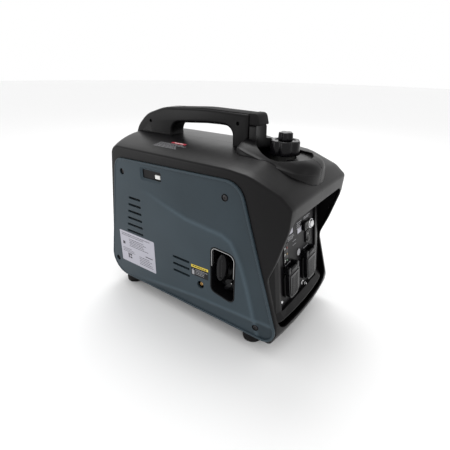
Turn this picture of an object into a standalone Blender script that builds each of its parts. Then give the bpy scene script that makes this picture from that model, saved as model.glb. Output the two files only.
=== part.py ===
"""Portable inverter generator, modelled as the separate pieces it comes apart into.

Metres, +Z up. +X points to the control panel and -Y to the starter side.
The origin is on the ground under the middle of the generator.
"""

import math

import bmesh
import bpy
from mathutils import Matrix, Vector

# Overall sizes
LENGTH = 0.460
WIDTH = 0.245  # across the two side covers
DECK_Z = 0.349  # ridge between the side and the deck
HANDLE_TOP_Z = 0.425
FOOT_HEIGHT = 0.025
FOOT_RADIUS = 0.020

# Casing
GAP = 0.0003  # between touching pieces
SHELL_WALL = 0.0035
SHELL_LOW_Z = 0.0315
DECK_CROWN = 0.014
REAR_BOW = 0.0037
REAR_TOP_BOW = 0.0340
LIP_BOW = 0.0085
SIDE_EDGE = 0.0035
COVER_THICKNESS = 0.0023
COVER_PROUD = 0.0009
COVER_EDGE = 0.0008
COVER_LOW_Z = 0.036
COVER_TOP_DROP = 0.015
COVER_CLEARANCE = 0.0005
TRAY_THICKNESS = 0.0055

# Side cover openings
VENT_HEIGHT = 0.0038
VENT_PITCH = 0.0162
UPPER_VENTS = 6
LOWER_VENTS = 3
REAR_LOUVRES = 8
CHOKE_WINDOW = (0.050, 0.018)
SCREW_HOLE_RADIUS = 0.0066
SCREW_HEAD_RADIUS = 0.0052
SCREW_SHANK_RADIUS = 0.0020
PORT_RADIUS = 0.0085
PLATE_SIZE = (0.111, 0.079)
PLATE_LOW_Z = 0.0765
PLATE_THICKNESS = 0.0005

# Starter
WINDOW_SIZE = (0.057, 0.110)
BEZEL_DEPTH = 0.034
BEZEL_WALL = 0.0025
TRIM_THICKNESS = 0.0012
GRIP_SIZE = (0.025, 0.058, 0.016)
GRIP_TILT = math.radians(6)
ROPE_RADIUS = 0.0020
REEL_RADIUS = 0.040
ROPE_TURN_RADIUS = 0.034
HOUSING_RADIUS = 0.050
TAP_KNOB_RADIUS = 0.0135
TAP_BODY_DEPTH = 0.018
TAP_TURN = math.radians(-40)

# Fuel
CAP_RADIUS = 0.0275
CAP_HEIGHT = 0.025
CAP_LOBES = 6
NECK_RADIUS = 0.0200
NECK_WALL = 0.0020
CAP_CLEARANCE = 0.0013
VENT_KNOB_RADIUS = 0.0135
WELL_RADIUS = 0.052
TANK_WALL = 0.0025

# Handle
HANDLE_HALF_WIDTH = 0.0205
GRIP_STRIP = 0.0048
FLARE_HALF_WIDTH = 0.056

# Control panel
PANEL_TILT = math.radians(7.1)
PANEL_SIZE = (0.1565, 0.178)
PANEL_THICKNESS = 0.003
PANEL_RECESS = 0.004
SOCKET_SPACING = 0.080
SOCKET_PLATE = 0.050
SOCKET_WELL_RADIUS = 0.0195
LID_SIZE = (0.047, 0.062, 0.0075)
BREAKER_RADIUS = 0.0078
SOCKET_V = 0.0440  # heights up the panel are v, and distances across it are u
SWITCH_UV = (0.0450, 0.1060)
BREAKER_UV = (0.0580, 0.1290)
EARTH_UV = (0.0210, 0.0085)
LAMPS_UV = (-0.0520, 0.1060)
DC_UV = (0.0320, 0.1330)
ROCKER_SIZE = (0.0125, 0.0190)
ROCKER_TILT = math.radians(7)

# Engine
SHAFT_RADIUS = 0.010
ROTOR_RADIUS = 0.068
STATOR_RADIUS = 0.054
BARREL_RADIUS = 0.030
FIN_RADIUS = 0.041
BARREL_LENGTH = 0.050
CYLINDER_ANGLE = math.radians(30)
EXHAUST_RADIUS = 0.013

# Places worked out from the sizes above
FRONT_X = LENGTH / 2
REAR_X = -LENGTH / 2
COVER_Y = WIDTH / 2
SHELL_Y = COVER_Y - COVER_PROUD
COVER_INNER_Y = COVER_Y - COVER_THICKNESS
FLANGE_Y = COVER_INNER_Y - GAP
SHELL_INNER_Y = SHELL_Y - SHELL_WALL
COVER_TOP_Z = DECK_Z - COVER_TOP_DROP
WINDOW_X = FRONT_X - 0.1265
WINDOW_Z = 0.145
CRANK_X = WINDOW_X - 0.1075
CRANK_Z = 0.127
CAP_X = FRONT_X - 0.082
WELL_FLOOR_Z = DECK_Z + 0.0035
NECK_TOP_Z = WELL_FLOOR_Z + 0.0235
CAP_Z = WELL_FLOOR_Z + 0.006
PANEL_LOW_Z = 0.083
PANEL_LOW_X = FRONT_X - 0.024
LEG_FRONT_X = FRONT_X - 0.149
LEG_BACK_X = LEG_FRONT_X - 0.035

LOOKS = {
    "slate": ((0.062, 0.080, 0.100), 0.45, 0.0),
    "casing": ((0.020, 0.019, 0.021), 0.55, 0.0),
    "rubber": ((0.012, 0.012, 0.013), 0.85, 0.0),
    "panel": ((0.030, 0.029, 0.032), 0.50, 0.0),
    "aluminium": ((0.62, 0.62, 0.63), 0.40, 1.0),
    "steel": ((0.45, 0.45, 0.46), 0.35, 1.0),
    "brass": ((0.60, 0.36, 0.16), 0.35, 1.0),
    "copper": ((0.55, 0.25, 0.12), 0.40, 1.0),
    "tank": ((0.05, 0.05, 0.05), 0.50, 0.0),
    "label": ((0.42, 0.42, 0.45), 0.40, 0.3),
    "rope": ((0.35, 0.33, 0.30), 0.80, 0.0),
    "lamp": ((0.75, 0.75, 0.72), 0.30, 0.0),
}


# ---- Scene and object helpers


def clear_scene():
    for obj in list(bpy.data.objects):
        bpy.data.objects.remove(obj, do_unlink=True)


def new_collection(name):
    collection = bpy.data.collections.new(name)
    bpy.context.scene.collection.children.link(collection)
    return collection


def look(name):
    """The Principled material of that name, made once."""
    if name in bpy.data.materials:
        return bpy.data.materials[name]
    colour, roughness, metallic = LOOKS[name]
    material = bpy.data.materials.new(name)
    material.use_nodes = True
    shader = material.node_tree.nodes["Principled BSDF"]
    shader.inputs["Base Color"].default_value = (*colour, 1.0)
    shader.inputs["Roughness"].default_value = roughness
    shader.inputs["Metallic"].default_value = metallic
    material.diffuse_color = (*colour, 1.0)
    return material


def add_object(name, bm, look_name, place=None, origin=None, bevel=0.0):
    """A part from the bmesh. place is its matrix, and origin moves only its origin."""
    mesh = bpy.data.meshes.new(name)
    if origin is not None:
        bmesh.ops.translate(bm, verts=bm.verts, vec=-Vector(origin))
    bm.to_mesh(mesh)
    bm.free()
    mesh.materials.append(look(look_name))
    mesh.shade_smooth()
    mesh.set_sharp_from_angle(angle=math.radians(35))
    obj = bpy.data.objects.new(name, mesh)
    bpy.data.collections["portable_generator"].objects.link(obj)
    if place is not None:
        obj.matrix_world = place
    if origin is not None:
        obj.location = origin
    if bevel:
        add_bevel(obj, bevel)
    return obj


def add_bevel(obj, width, segments=1):
    bevel = obj.modifiers.new("Rounded edges", "BEVEL")
    bevel.width = width
    bevel.segments = segments
    bevel.limit_method = "ANGLE"
    bevel.angle_limit = math.radians(40)


def join(obj, other, operation):
    """A Boolean of obj with another object, which becomes a hidden cutter."""
    for collection in other.users_collection:
        collection.objects.unlink(other)
    bpy.data.collections["cutters"].objects.link(other)
    other.hide_render = True
    other.display_type = "WIRE"
    boolean = obj.modifiers.new(other.name, "BOOLEAN")
    boolean.operation = operation
    boolean.solver = "EXACT"
    boolean.object = other


def cut(obj, bm, name, place=None):
    join(obj, add_object(name, bm, "steel", place), "DIFFERENCE")


def unite(obj, bm, name, place=None):
    join(obj, add_object(name, bm, "steel", place), "UNION")


# ---- Outlines, in the two axes across an extrusion


def rounded(corners, step=math.radians(26)):
    """A closed outline from (u, v, radius) corners, each arc split into equal steps."""
    outline = []
    for i, (u, v, radius) in enumerate(corners):
        here = Vector((u, v))
        back = (Vector(corners[i - 1][:2]) - here).normalized()
        ahead = (Vector(corners[(i + 1) % len(corners)][:2]) - here).normalized()
        if not radius:
            outline.append(here)
            continue
        half = back.angle(ahead) / 2
        centre = here + (back + ahead).normalized() * radius / math.sin(half)
        start = here + back * radius / math.tan(half) - centre
        turn = math.pi - 2 * half
        sense = 1 if back.cross(ahead) < 0 else -1
        steps = max(1, round(turn / step))
        for k in range(steps + 1):
            outline.append(centre + Matrix.Rotation(sense * turn * k / steps, 2) @ start)
    return outline


def rectangle(low_u, high_u, low_v, high_v, radius=0.0):
    corners = ((low_u, low_v), (high_u, low_v), (high_u, high_v), (low_u, high_v))
    return rounded([(u, v, radius) for u, v in corners])


def grown(outline, distance):
    """The outline moved outwards by distance, or inwards where it is negative."""
    area = sum(outline[i - 1].cross(point) for i, point in enumerate(outline))
    side = distance if area > 0 else -distance
    moved = []
    for i, point in enumerate(outline):
        arriving = (point - outline[i - 1]).normalized()
        leaving = (outline[(i + 1) % len(outline)] - point).normalized()
        across = arriving + leaving
        normal = Vector((across.y, -across.x)).normalized()
        reach = max(0.5, normal.dot(Vector((arriving.y, -arriving.x))))
        moved.append(point + normal * side / reach)
    return moved


def point_on(axis, u, v, w):
    """The point w along the axis, with u and v along the other two in order."""
    places = {"x": (w, u, v), "y": (u, w, v), "z": (u, v, w)}
    return Vector(places[axis])


def prism(axis, outline, low, high):
    bm = bmesh.new()
    face = bm.faces.new([bm.verts.new(point_on(axis, p.x, p.y, low)) for p in outline])
    made = bmesh.ops.extrude_face_region(bm, geom=[face])
    top = [item for item in made["geom"] if isinstance(item, bmesh.types.BMVert)]
    bmesh.ops.translate(bm, verts=top, vec=point_on(axis, 0, 0, high - low))
    bmesh.ops.recalc_face_normals(bm, faces=bm.faces)
    return bm


def box(low, high):
    bm = bmesh.new()
    size = Vector(high) - Vector(low)
    middle = (Vector(high) + Vector(low)) / 2
    bmesh.ops.create_cube(bm, size=1, matrix=Matrix.Translation(middle) @ Matrix.Diagonal((*size, 1)))
    return bm


def cylinder(axis, centre, radius, low, high, sides=20):
    """A cylinder along the axis. centre is its place across the axis."""
    bm = bmesh.new()
    turns = {"x": Matrix.Rotation(math.pi / 2, 4, "Y"), "y": Matrix.Rotation(-math.pi / 2, 4, "X")}
    place = Matrix.Translation(point_on(axis, *centre, (low + high) / 2))
    bmesh.ops.create_cone(
        bm,
        cap_ends=True,
        segments=sides,
        radius1=radius,
        radius2=radius,
        depth=high - low,
        matrix=place @ turns.get(axis, Matrix.Identity(4)),
    )
    return bm


def loft(sections, capped=True):
    """A skin through the sections, closed rings of as many points each.

    Each quad is split along its shorter diagonal, so the two skins of a wall stay parallel.
    """
    bm = bmesh.new()
    rings = []
    for section in sections:
        verts = [bm.verts.new(point) for point in section]
        rings.append([bm.edges.new((verts[i - 1], vert)) for i, vert in enumerate(verts)])
    for first, second in zip(rings, rings[1:]):
        bmesh.ops.bridge_loops(bm, edges=first + second)
    bmesh.ops.triangulate(bm, faces=bm.faces, quad_method="SHORT_EDGE")
    bmesh.ops.holes_fill(bm, edges=rings[0] + (rings[-1] if capped else []), sides=0)
    bmesh.ops.recalc_face_normals(bm, faces=bm.faces)
    return bm


def turned(name, profile, look_name, place, steps=20):
    """A turned part from (radius, height) points, outer side from top to bottom.

    A profile that starts and ends on the axis is solid, and any other one is a closed ring.
    """
    bm = bmesh.new()
    verts = [bm.verts.new((radius, 0, height)) for radius, height in profile]
    for first, second in zip(verts, verts[1:]):
        bm.edges.new((first, second))
    if profile[0][0] or profile[-1][0]:
        bm.edges.new((verts[-1], verts[0]))
    obj = add_object(name, bm, look_name, place)
    screw = obj.modifiers.new("Turned", "SCREW")
    screw.steps = steps
    screw.render_steps = steps
    screw.use_merge_vertices = True
    screw.merge_threshold = 0.00001
    screw.use_smooth_shade = True
    return obj


def at_starter_side(x, y, z):
    """A place whose local Z points out of the starter side."""
    return Matrix.Translation((x, y, z)) @ Matrix.Rotation(math.pi / 2, 4, "X")


def upright(x, y, z):
    return Matrix.Translation((x, y, z))


# ---- Casing


def body_outline():
    """The side view of the casing at the ridge."""
    return rounded(
        (
            (REAR_X - 0.0040, SHELL_LOW_Z, 0.045),
            (FRONT_X - 0.0190, SHELL_LOW_Z, 0.006),
            (FRONT_X - LIP_BOW, 0.055, 0),
            (FRONT_X - 0.0095, 0.076, 0),
            (FRONT_X - 0.0225, 0.120, 0.050),
            (FRONT_X - 0.0360, 0.165, 0.030),
            (FRONT_X - 0.0200, 0.210, 0.080),
            (FRONT_X - 0.0040, DECK_Z - 0.080, 0.050),
            (FRONT_X - 0.0020, DECK_Z - 0.042, 0.010),
            (FRONT_X - 0.0230, DECK_Z - 0.025, 0.030),
            (FRONT_X - 0.0800, DECK_Z - 0.0045, 0.060),
            (FRONT_X - 0.1230, DECK_Z, 0.100),
            (REAR_X + 0.0430, DECK_Z - 0.0015, 0.022),
        )
    )


def ramp(value, start, end):
    return min(1.0, max(0.0, (value - start) / (end - start)))


def rear_bow(z):
    """How far the middle of the rear wall stands behind its sides at height z."""
    return REAR_BOW + (REAR_TOP_BOW - REAR_BOW) * ramp(z, 0.100, DECK_Z - 0.030)


def body_section(y, inset=0.0):
    """The casing's side view at y, with its crowned deck, bowed rear and bowed lip."""
    middle = 1 - (y / SHELL_Y) ** 2
    section = []
    for point in grown(body_outline(), -inset):
        x = point.x
        if x > 0:
            x += LIP_BOW * middle * ramp(point.y, 0.130, 0.080)
        else:
            x -= rear_bow(point.y) * middle * ramp(x, REAR_X + 0.110, REAR_X + 0.070)
        z = point.y + DECK_CROWN * middle * ramp(point.y, DECK_Z - 0.050, DECK_Z - 0.005)
        section.append(Vector((x, y, z)))
    return section


def casing_core(grow):
    """The whole casing as one solid, larger all round by grow, to cut what rests on it."""
    reach = SHELL_Y - SIDE_EDGE + min(grow, 0)
    sections = [body_section(-SHELL_Y - grow, SIDE_EDGE - grow)]
    sections += [body_section(reach * share, -grow) for share in (-1, -0.7, -0.35, 0, 0.35, 0.7, 1)]
    sections.append(body_section(SHELL_Y + grow, SIDE_EDGE - grow))
    return loft(sections)


def cover_outline():
    return rounded(
        (
            (REAR_X - 0.0025, COVER_LOW_Z, 0.045),
            (FRONT_X + 0.0005, COVER_LOW_Z, 0.027),
            (FRONT_X - 0.0950, COVER_TOP_Z, 0.040),
            (REAR_X + 0.0550, COVER_TOP_Z - 0.008, 0.024),
        )
    )


def service_outline():
    """The opening behind a side cover, clear of the cover's screws."""
    return rounded(
        (
            (REAR_X + 0.052, 0.052, 0.008),
            (FRONT_X - 0.072, 0.052, 0.008),
            (FRONT_X - 0.046, 0.085, 0.008),
            (FRONT_X - 0.078, 0.200, 0.020),
            (FRONT_X - 0.136, COVER_TOP_Z - 0.050, 0.008),
            (FRONT_X - 0.150, COVER_TOP_Z - 0.016, 0.008),
            (REAR_X + 0.100, COVER_TOP_Z - 0.017, 0.008),
            (REAR_X + 0.088, COVER_TOP_Z - 0.050, 0.008),
            (REAR_X + 0.052, COVER_TOP_Z - 0.064, 0.008),
            (REAR_X + 0.030, 0.110, 0.020),
        )
    )


def cover_screw_places():
    return (
        (REAR_X + 0.073, COVER_TOP_Z - 0.036),
        (FRONT_X - 0.126, COVER_TOP_Z - 0.034),
        (REAR_X + 0.025, 0.074),
        (FRONT_X - 0.051, 0.057),
    )


def bay_outline(clearance):
    """The front bay's opening, seen from the front."""
    half = SHELL_INNER_Y - 0.0045
    return grown(
        rounded(
            (
                (-half, 0.061, 0.030),
                (half, 0.061, 0.030),
                (half, DECK_Z - 0.066, 0.020),
                (-half, DECK_Z - 0.066, 0.020),
            )
        ),
        clearance,
    )


def body_shell(name, side):
    """One half of the casing. side is -1 on the starter side and 1 on the other."""
    reach = SHELL_Y - SIDE_EDGE
    stations = [body_section(side * SHELL_Y, SIDE_EDGE)]
    stations += [body_section(side * reach * share) for share in (1, 0.7, 0.35)]
    stations.append(body_section(-side * SHELL_WALL))
    shell = add_object(name, loft(stations, capped=False), "casing")
    wall = shell.modifiers.new("Wall", "SOLIDIFY")
    wall.thickness = SHELL_WALL
    wall.offset = -1
    wall.use_even_offset = True
    outer, flange, inner = side * (SHELL_Y + 0.01), side * FLANGE_Y, side * (SHELL_INNER_Y - 0.01)
    ends = sorted((side * GAP / 2, -side * 0.02))
    past_seam = prism("y", rectangle(REAR_X - 0.02, FRONT_X + 0.02, 0, HANDLE_TOP_Z), *ends)
    cut(shell, past_seam, name + " seam")
    pocket = grown(cover_outline(), COVER_CLEARANCE)
    cut(shell, prism("y", pocket, *sorted((outer, flange))), name + " cover pocket")
    cut(shell, prism("y", service_outline(), *sorted((outer, inner))), name + " service opening")
    cut(shell, prism("x", bay_outline(0), FRONT_X - 0.080, FRONT_X + 0.02), name + " front bay")
    cut(shell, cylinder("z", (CAP_X, 0), WELL_RADIUS + 0.0042, DECK_Z - 0.06, DECK_Z + 0.04), name + " well")
    cut(shell, prism("x", rear_outline(0), REAR_X - 0.02, REAR_X + 0.070), name + " rear opening")
    tray = rectangle(REAR_X + 0.045, FRONT_X - 0.060, -0.095, 0.095, 0.012)
    opening = prism("z", tray, SHELL_LOW_Z - 0.01, SHELL_LOW_Z + SHELL_WALL + 0.004)
    cut(shell, opening, name + " base opening")
    for i, (x, z) in enumerate(cover_screw_places()):
        hole = cylinder("y", (x, z), SCREW_SHANK_RADIUS + GAP, *sorted((outer, inner)), sides=12)
        cut(shell, hole, f"{name} screw hole {i + 1}")
    return shell


def vent_places():
    """(middle x, middle z, width) of each slot in the starter-side cover."""
    places = []
    for i in range(UPPER_VENTS):
        left = REAR_X + 0.086 - 0.0032 * i
        places.append(((left + REAR_X + 0.1215) / 2, 0.243 - VENT_PITCH * i, REAR_X + 0.1215 - left))
    for i in range(LOWER_VENTS):
        places.append((CRANK_X + 0.0035, 0.1425 - VENT_PITCH * i, 0.045))
    return places


def side_cover(name, side):
    low, high = sorted((side * COVER_INNER_Y, side * COVER_Y))
    cover = add_object(name, prism("y", cover_outline(), low, high), "slate", bevel=COVER_EDGE)
    reach = (low - 0.01, high + 0.01)
    for i, (x, z, width) in enumerate(vent_places()):
        slot = rectangle(x - width / 2, x + width / 2, z - VENT_HEIGHT / 2, z + VENT_HEIGHT / 2)
        cut(cover, prism("y", slot, *reach), f"{name} vent {i + 1}")
    for i, (x, z) in enumerate(cover_screw_places()):
        cut(cover, cylinder("y", (x, z), SCREW_HOLE_RADIUS, *reach, sides=12), f"{name} screw {i + 1}")
    return cover


def left_cover():
    cover = side_cover("left_side_cover", -1)
    reach = (-COVER_Y - 0.01, -COVER_INNER_Y + 0.01)
    cut(cover, prism("y", grown(window_outline(), GAP), *reach), "starter window")
    cut(cover, prism("y", choke_outline(), *reach), "choke window")
    cut(cover, cylinder("y", port_place(), PORT_RADIUS, *reach, sides=20), "port")
    outline = grown(plate_outline(), GAP)
    cut(cover, prism("y", outline, -COVER_Y - 0.01, -COVER_Y + PLATE_THICKNESS + 2 * GAP), "plate recess")


def port_place():
    return (FRONT_X - 0.180, 0.101)


def plate_outline():
    left = REAR_X + 0.042
    return rectangle(left, left + PLATE_SIZE[0], PLATE_LOW_Z, PLATE_LOW_Z + PLATE_SIZE[1], 0.002)


def rating_plate():
    outer = -COVER_Y + GAP
    add_object("rating_plate", prism("y", plate_outline(), outer, outer + PLATE_THICKNESS), "label")


def cover_screws():
    """The four screws of the starter-side cover."""
    head = FLANGE_Y + GAP
    for i, (x, z) in enumerate(cover_screw_places()):
        profile = (
            (0, 0.0016),
            (SCREW_HEAD_RADIUS - 0.001, 0.0016),
            (SCREW_HEAD_RADIUS, 0.0008),
            (SCREW_HEAD_RADIUS, 0),
            (SCREW_SHANK_RADIUS, 0),
            (SCREW_SHANK_RADIUS, -0.012),
            (0, -0.012),
        )
        turned(f"cover_screw_{i + 1}", profile, "steel", at_starter_side(x, -head, z), steps=12)


def rear_outline(clearance):
    return grown(rectangle(-0.088, 0.088, 0.082, DECK_Z - 0.055, 0.014), clearance)


def rear_wall_x(y, z):
    """The outside of the casing's straight rear wall."""
    low, high = Vector((REAR_X - 0.0040, SHELL_LOW_Z)), Vector((REAR_X + 0.0430, DECK_Z - 0.0015))
    side_x = low.x + (high.x - low.x) * (z - low.y) / (high.y - low.y)
    return side_x - rear_bow(z) * (1 - (y / SHELL_Y) ** 2)


def rear_cover():
    """The louvred cover over the silencer, curved like the rear wall and a little sunk."""
    sunk, thick = 0.0008, 0.0030
    block = prism("x", rear_outline(-2 * GAP), REAR_X - 0.02, REAR_X + 0.055)
    cover = add_object("rear_cover", block, "casing")
    join(cover, add_object("rear cover skin", casing_core(-sunk), "steel"), "INTERSECT")
    cut(cover, casing_core(-sunk - thick), "rear cover inside")
    for i in range(REAR_LOUVRES):
        z = 0.160 + 0.0125 * i
        slot = rectangle(-0.066, 0.066, z - VENT_HEIGHT / 2, z + VENT_HEIGHT / 2)
        cut(cover, prism("x", slot, REAR_X - 0.03, REAR_X + 0.08), f"rear louvre {i + 1}")
    hole = cylinder("x", exhaust_place(), EXHAUST_RADIUS + 0.004, REAR_X - 0.03, REAR_X + 0.08)
    cut(cover, hole, "exhaust hole")


def base_tray():
    top = SHELL_LOW_Z - GAP
    outline = rectangle(REAR_X + 0.030, FRONT_X - 0.040, -COVER_Y + 0.012, COVER_Y - 0.012, 0.020)
    tray = prism("z", outline, top - TRAY_THICKNESS, top)
    add_object("base_tray", tray, "casing", bevel=0.0012)


def feet():
    top = SHELL_LOW_Z - GAP - TRAY_THICKNESS - GAP
    profile = (
        (0, top),
        (FOOT_RADIUS - 0.003, top),
        (FOOT_RADIUS - 0.003, FOOT_HEIGHT * 0.55),
        (FOOT_RADIUS, FOOT_HEIGHT * 0.45),
        (FOOT_RADIUS, 0.002),
        (FOOT_RADIUS - 0.002, 0),
        (0, 0),
    )
    across = COVER_Y - 0.034
    rear, front = REAR_X + 0.036, FRONT_X - 0.074
    for i, (x, y) in enumerate(((rear, -across), (rear, across), (front, -across), (front, across))):
        turned(f"foot_{i + 1}", profile, "rubber", upright(x, y, 0), steps=20)


# ---- Tank cowl and carrying handle


def cowl_section(x, half, edge_z, middle_z):
    """One arched section across the tank cowl."""
    low = DECK_Z - 0.050
    arch = [(0.0, 1.0), (0.35, 0.88), (0.65, 0.58), (0.88, 0.14)]
    right = [(half * share, edge_z + (middle_z - edge_z) * rise) for share, rise in arch]
    right += [(half - 0.0015, edge_z - 0.0025), (half, edge_z - 0.008), (half, low)]
    left = [(-y, z) for y, z in reversed(right[1:])]
    return [Vector((x, y, z)) for y, z in right + left]


def tank_cowl():
    stations = (
        (LEG_FRONT_X + GAP, 0.0400, 0.0195, 0.0300),
        (FRONT_X - 0.1360, 0.0680, 0.0185, 0.0290),
        (FRONT_X - 0.1120, 0.0725, 0.0170, 0.0265),
        (FRONT_X - 0.0640, 0.0725, 0.0045, 0.0150),
        (FRONT_X - 0.0400, 0.0660, -0.0020, 0.0075),
        (FRONT_X - 0.0200, 0.0450, -0.0075, -0.0015),
        (FRONT_X - 0.0060, 0.0140, -0.0140, -0.0120),
    )
    sections = [cowl_section(x, half, DECK_Z + edge, DECK_Z + middle) for x, half, edge, middle in stations]
    cowl = add_object("tank_cowl", loft(sections), "casing")
    top = HANDLE_TOP_Z - 0.0215
    upstand = rounded(
        (
            (LEG_FRONT_X + GAP, DECK_Z + 0.005, 0),
            (FRONT_X - 0.100, DECK_Z + 0.005, 0),
            (FRONT_X - 0.116, DECK_Z + 0.036, 0.015),
            (FRONT_X - 0.126, top, 0.003),
            (LEG_FRONT_X + GAP, top, 0),
        )
    )
    unite(cowl, prism("y", upstand, -HANDLE_HALF_WIDTH, HANDLE_HALF_WIDTH), "cowl upstand")
    cut(cowl, casing_core(GAP), "casing under cowl")
    bowl = cylinder("z", (CAP_X, 0), WELL_RADIUS + 0.0030, WELL_FLOOR_Z - 0.003, DECK_Z + 0.014, sides=28)
    unite(cowl, bowl, "cowl bowl")
    well = cylinder("z", (CAP_X, 0), WELL_RADIUS, WELL_FLOOR_Z, DECK_Z + 0.09, sides=28)
    cut(cowl, well, "cowl well")
    neck = cylinder("z", (CAP_X, 0), NECK_RADIUS + 0.003, WELL_FLOOR_Z - 0.02, DECK_Z + 0.09, sides=20)
    cut(cowl, neck, "cowl neck hole")


def handle_outline():
    """The side view of the handle, open to the deck under the fingers."""
    under = HANDLE_TOP_Z - GRIP_STRIP - GAP
    return rounded(
        (
            (REAR_X + 0.0060, DECK_Z - 0.012, 0),
            (REAR_X + 0.1200, DECK_Z - 0.012, 0),
            (REAR_X + 0.1180, HANDLE_TOP_Z - 0.0370, 0.018),
            (0.0, HANDLE_TOP_Z - 0.0275, 0.300),
            (LEG_BACK_X, HANDLE_TOP_Z - 0.0285, 0.014),
            (LEG_BACK_X, DECK_Z - 0.012, 0),
            (LEG_FRONT_X, DECK_Z - 0.012, 0),
            (LEG_FRONT_X, under - 0.0005, 0),
            (-0.0240, under + 0.0002, 0.400),
            (REAR_X + 0.0980, under - 0.0060, 0.100),
            (REAR_X + 0.0330, HANDLE_TOP_Z - 0.0330, 0.060),
            (REAR_X + 0.0060, HANDLE_TOP_Z - 0.0680, 0.020),
        )
    )


def handle_half(name, side):
    """One moulded half of the handle, with its flared rear foot."""
    outline = handle_outline()
    flat, turned_in = HANDLE_HALF_WIDTH - 0.0065, HANDLE_HALF_WIDTH - 0.0017
    layers = ((GAP / 2, 0.0), (flat, 0.0), (turned_in, 0.0014), (HANDLE_HALF_WIDTH, 0.0045))
    sections = []
    for y, inset in layers:
        sections.append([Vector((p.x, side * y, p.y)) for p in grown(outline, -inset)])
    half = add_object(name, loft(sections), "casing")
    flare = loft([flare_section(side, share) for share in (0.0, 0.3, 0.65, 1.0)])
    unite(half, flare, name + " flare")
    cut(half, casing_core(GAP), name + " casing")
    return half


def flare_section(side, share):
    """A level section of the handle's rear foot: wide on the deck, narrow at the top."""
    half = HANDLE_HALF_WIDTH - 0.006 + (FLARE_HALF_WIDTH - HANDLE_HALF_WIDTH) * (1 - share) ** 2
    z = DECK_Z - 0.012 + 0.050 * share
    rear = REAR_X + 0.0070 + 0.020 * share ** 1.5
    front = REAR_X + 0.1050 - 0.040 * share
    corners = ((rear, 0.003), (front, 0.003), (front - 0.030, half), (rear + 0.012, half))
    return [Vector((x, side * y, z)) for x, y in corners]


def handle_grip():
    """The soft strip along the top of the handle, and its end cap."""
    top, under = HANDLE_TOP_Z - 0.0003, HANDLE_TOP_Z - GRIP_STRIP
    strip = rounded(
        (
            (REAR_X + 0.1000, under - 0.0057, 0),
            (-0.0240, under, 0.400),
            (LEG_FRONT_X, under - 0.0006, 0),
            (LEG_FRONT_X, top - 0.0012, 0),
            (-0.0240, top, 0.400),
            (REAR_X + 0.1000, top - 0.0072, 0),
        )
    )
    half = HANDLE_HALF_WIDTH - 0.0025
    add_object("handle_grip", prism("y", strip, -half, half), "rubber", bevel=0.0015)
    cap = rounded(
        (
            (LEG_FRONT_X + GAP, HANDLE_TOP_Z - 0.0210, 0),
            (FRONT_X - 0.1265, HANDLE_TOP_Z - 0.0210, 0.002),
            (FRONT_X - 0.1330, HANDLE_TOP_Z, 0.007),
            (LEG_FRONT_X + GAP, HANDLE_TOP_Z, 0.001),
        )
    )
    add_object("grip_end_cap", prism("y", cap, -half - 0.001, half + 0.001), "rubber", bevel=0.0015)


# ---- Front bay and control panel


def panel_x(z, ahead=0.0):
    """The front of the control panel at height z, or a plane ahead of it."""
    return PANEL_LOW_X - (z - PANEL_LOW_Z) * math.tan(PANEL_TILT) + ahead


def panel_place():
    """Local X along +Y, local Y up the panel, local Z out of it, from its lower middle."""
    up = Vector((-math.sin(PANEL_TILT), 0, math.cos(PANEL_TILT)))
    out = Vector((math.cos(PANEL_TILT), 0, math.sin(PANEL_TILT)))
    place = Matrix((Vector((0, 1, 0)), up, out)).transposed().to_4x4()
    return Matrix.Translation((PANEL_LOW_X, 0, PANEL_LOW_Z)) @ place


def panel_section(y):
    """The bay's side view at y: it stands a little ahead of the panel and falls back at the walls."""
    half = bay_half_width()
    back = 0.016 * ramp(abs(y), half - 0.028, half) ** 2
    bow = LIP_BOW * (1 - (y / SHELL_Y) ** 2)
    top = DECK_Z - 0.0600
    deep = FRONT_X - 0.075
    lip = FRONT_X - 0.0150 + bow - back * 0.5
    profile = (
        (deep, 0.0715),
        (lip, 0.0715),
        (lip, 0.0745),
        (panel_x(0.0860, PANEL_RECESS) - back, 0.0860),
        (panel_x(0.1600, PANEL_RECESS) - back, 0.1600),
        (panel_x(DECK_Z - 0.086, PANEL_RECESS) - back, DECK_Z - 0.086),
        (panel_x(top, PANEL_RECESS) - back, top),
        (deep, top),
    )
    return [Vector((x, y, z)) for x, z in profile]


def bay_half_width():
    return SHELL_INNER_Y - 0.0045 - GAP


def front_bay():
    half = bay_half_width()
    shares = (-1, -0.93, -0.84, -0.75, -0.4, 0, 0.4, 0.75, 0.84, 0.93, 1)
    sections = [panel_section(share * (half + 0.001)) for share in shares]
    bay = add_object("front_bay", loft(sections), "casing")
    edge = add_object("bay edge", prism("x", bay_outline(-GAP), FRONT_X - 0.09, FRONT_X + 0.03), "steel")
    join(bay, edge, "INTERSECT")
    place = panel_place()
    wide, tall = PANEL_SIZE[0] / 2 + GAP, PANEL_SIZE[1] + GAP
    pocket = prism("z", rectangle(-wide, wide, -GAP, tall), -PANEL_THICKNESS - GAP, 0.05)
    cut(bay, pocket, "panel pocket", place)
    through = prism("z", rectangle(-wide + 0.003, wide - 0.003, 0.003, tall - 0.003, 0.004), -0.09, 0.01)
    cut(bay, through, "panel opening", place)
    inner = half - 0.0035
    inside = rectangle(-inner, inner, -0.0080, tall + 0.012, 0.02)
    cut(bay, prism("z", inside, -0.09, -PANEL_THICKNESS - 0.003), "bay hollow", place)


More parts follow.
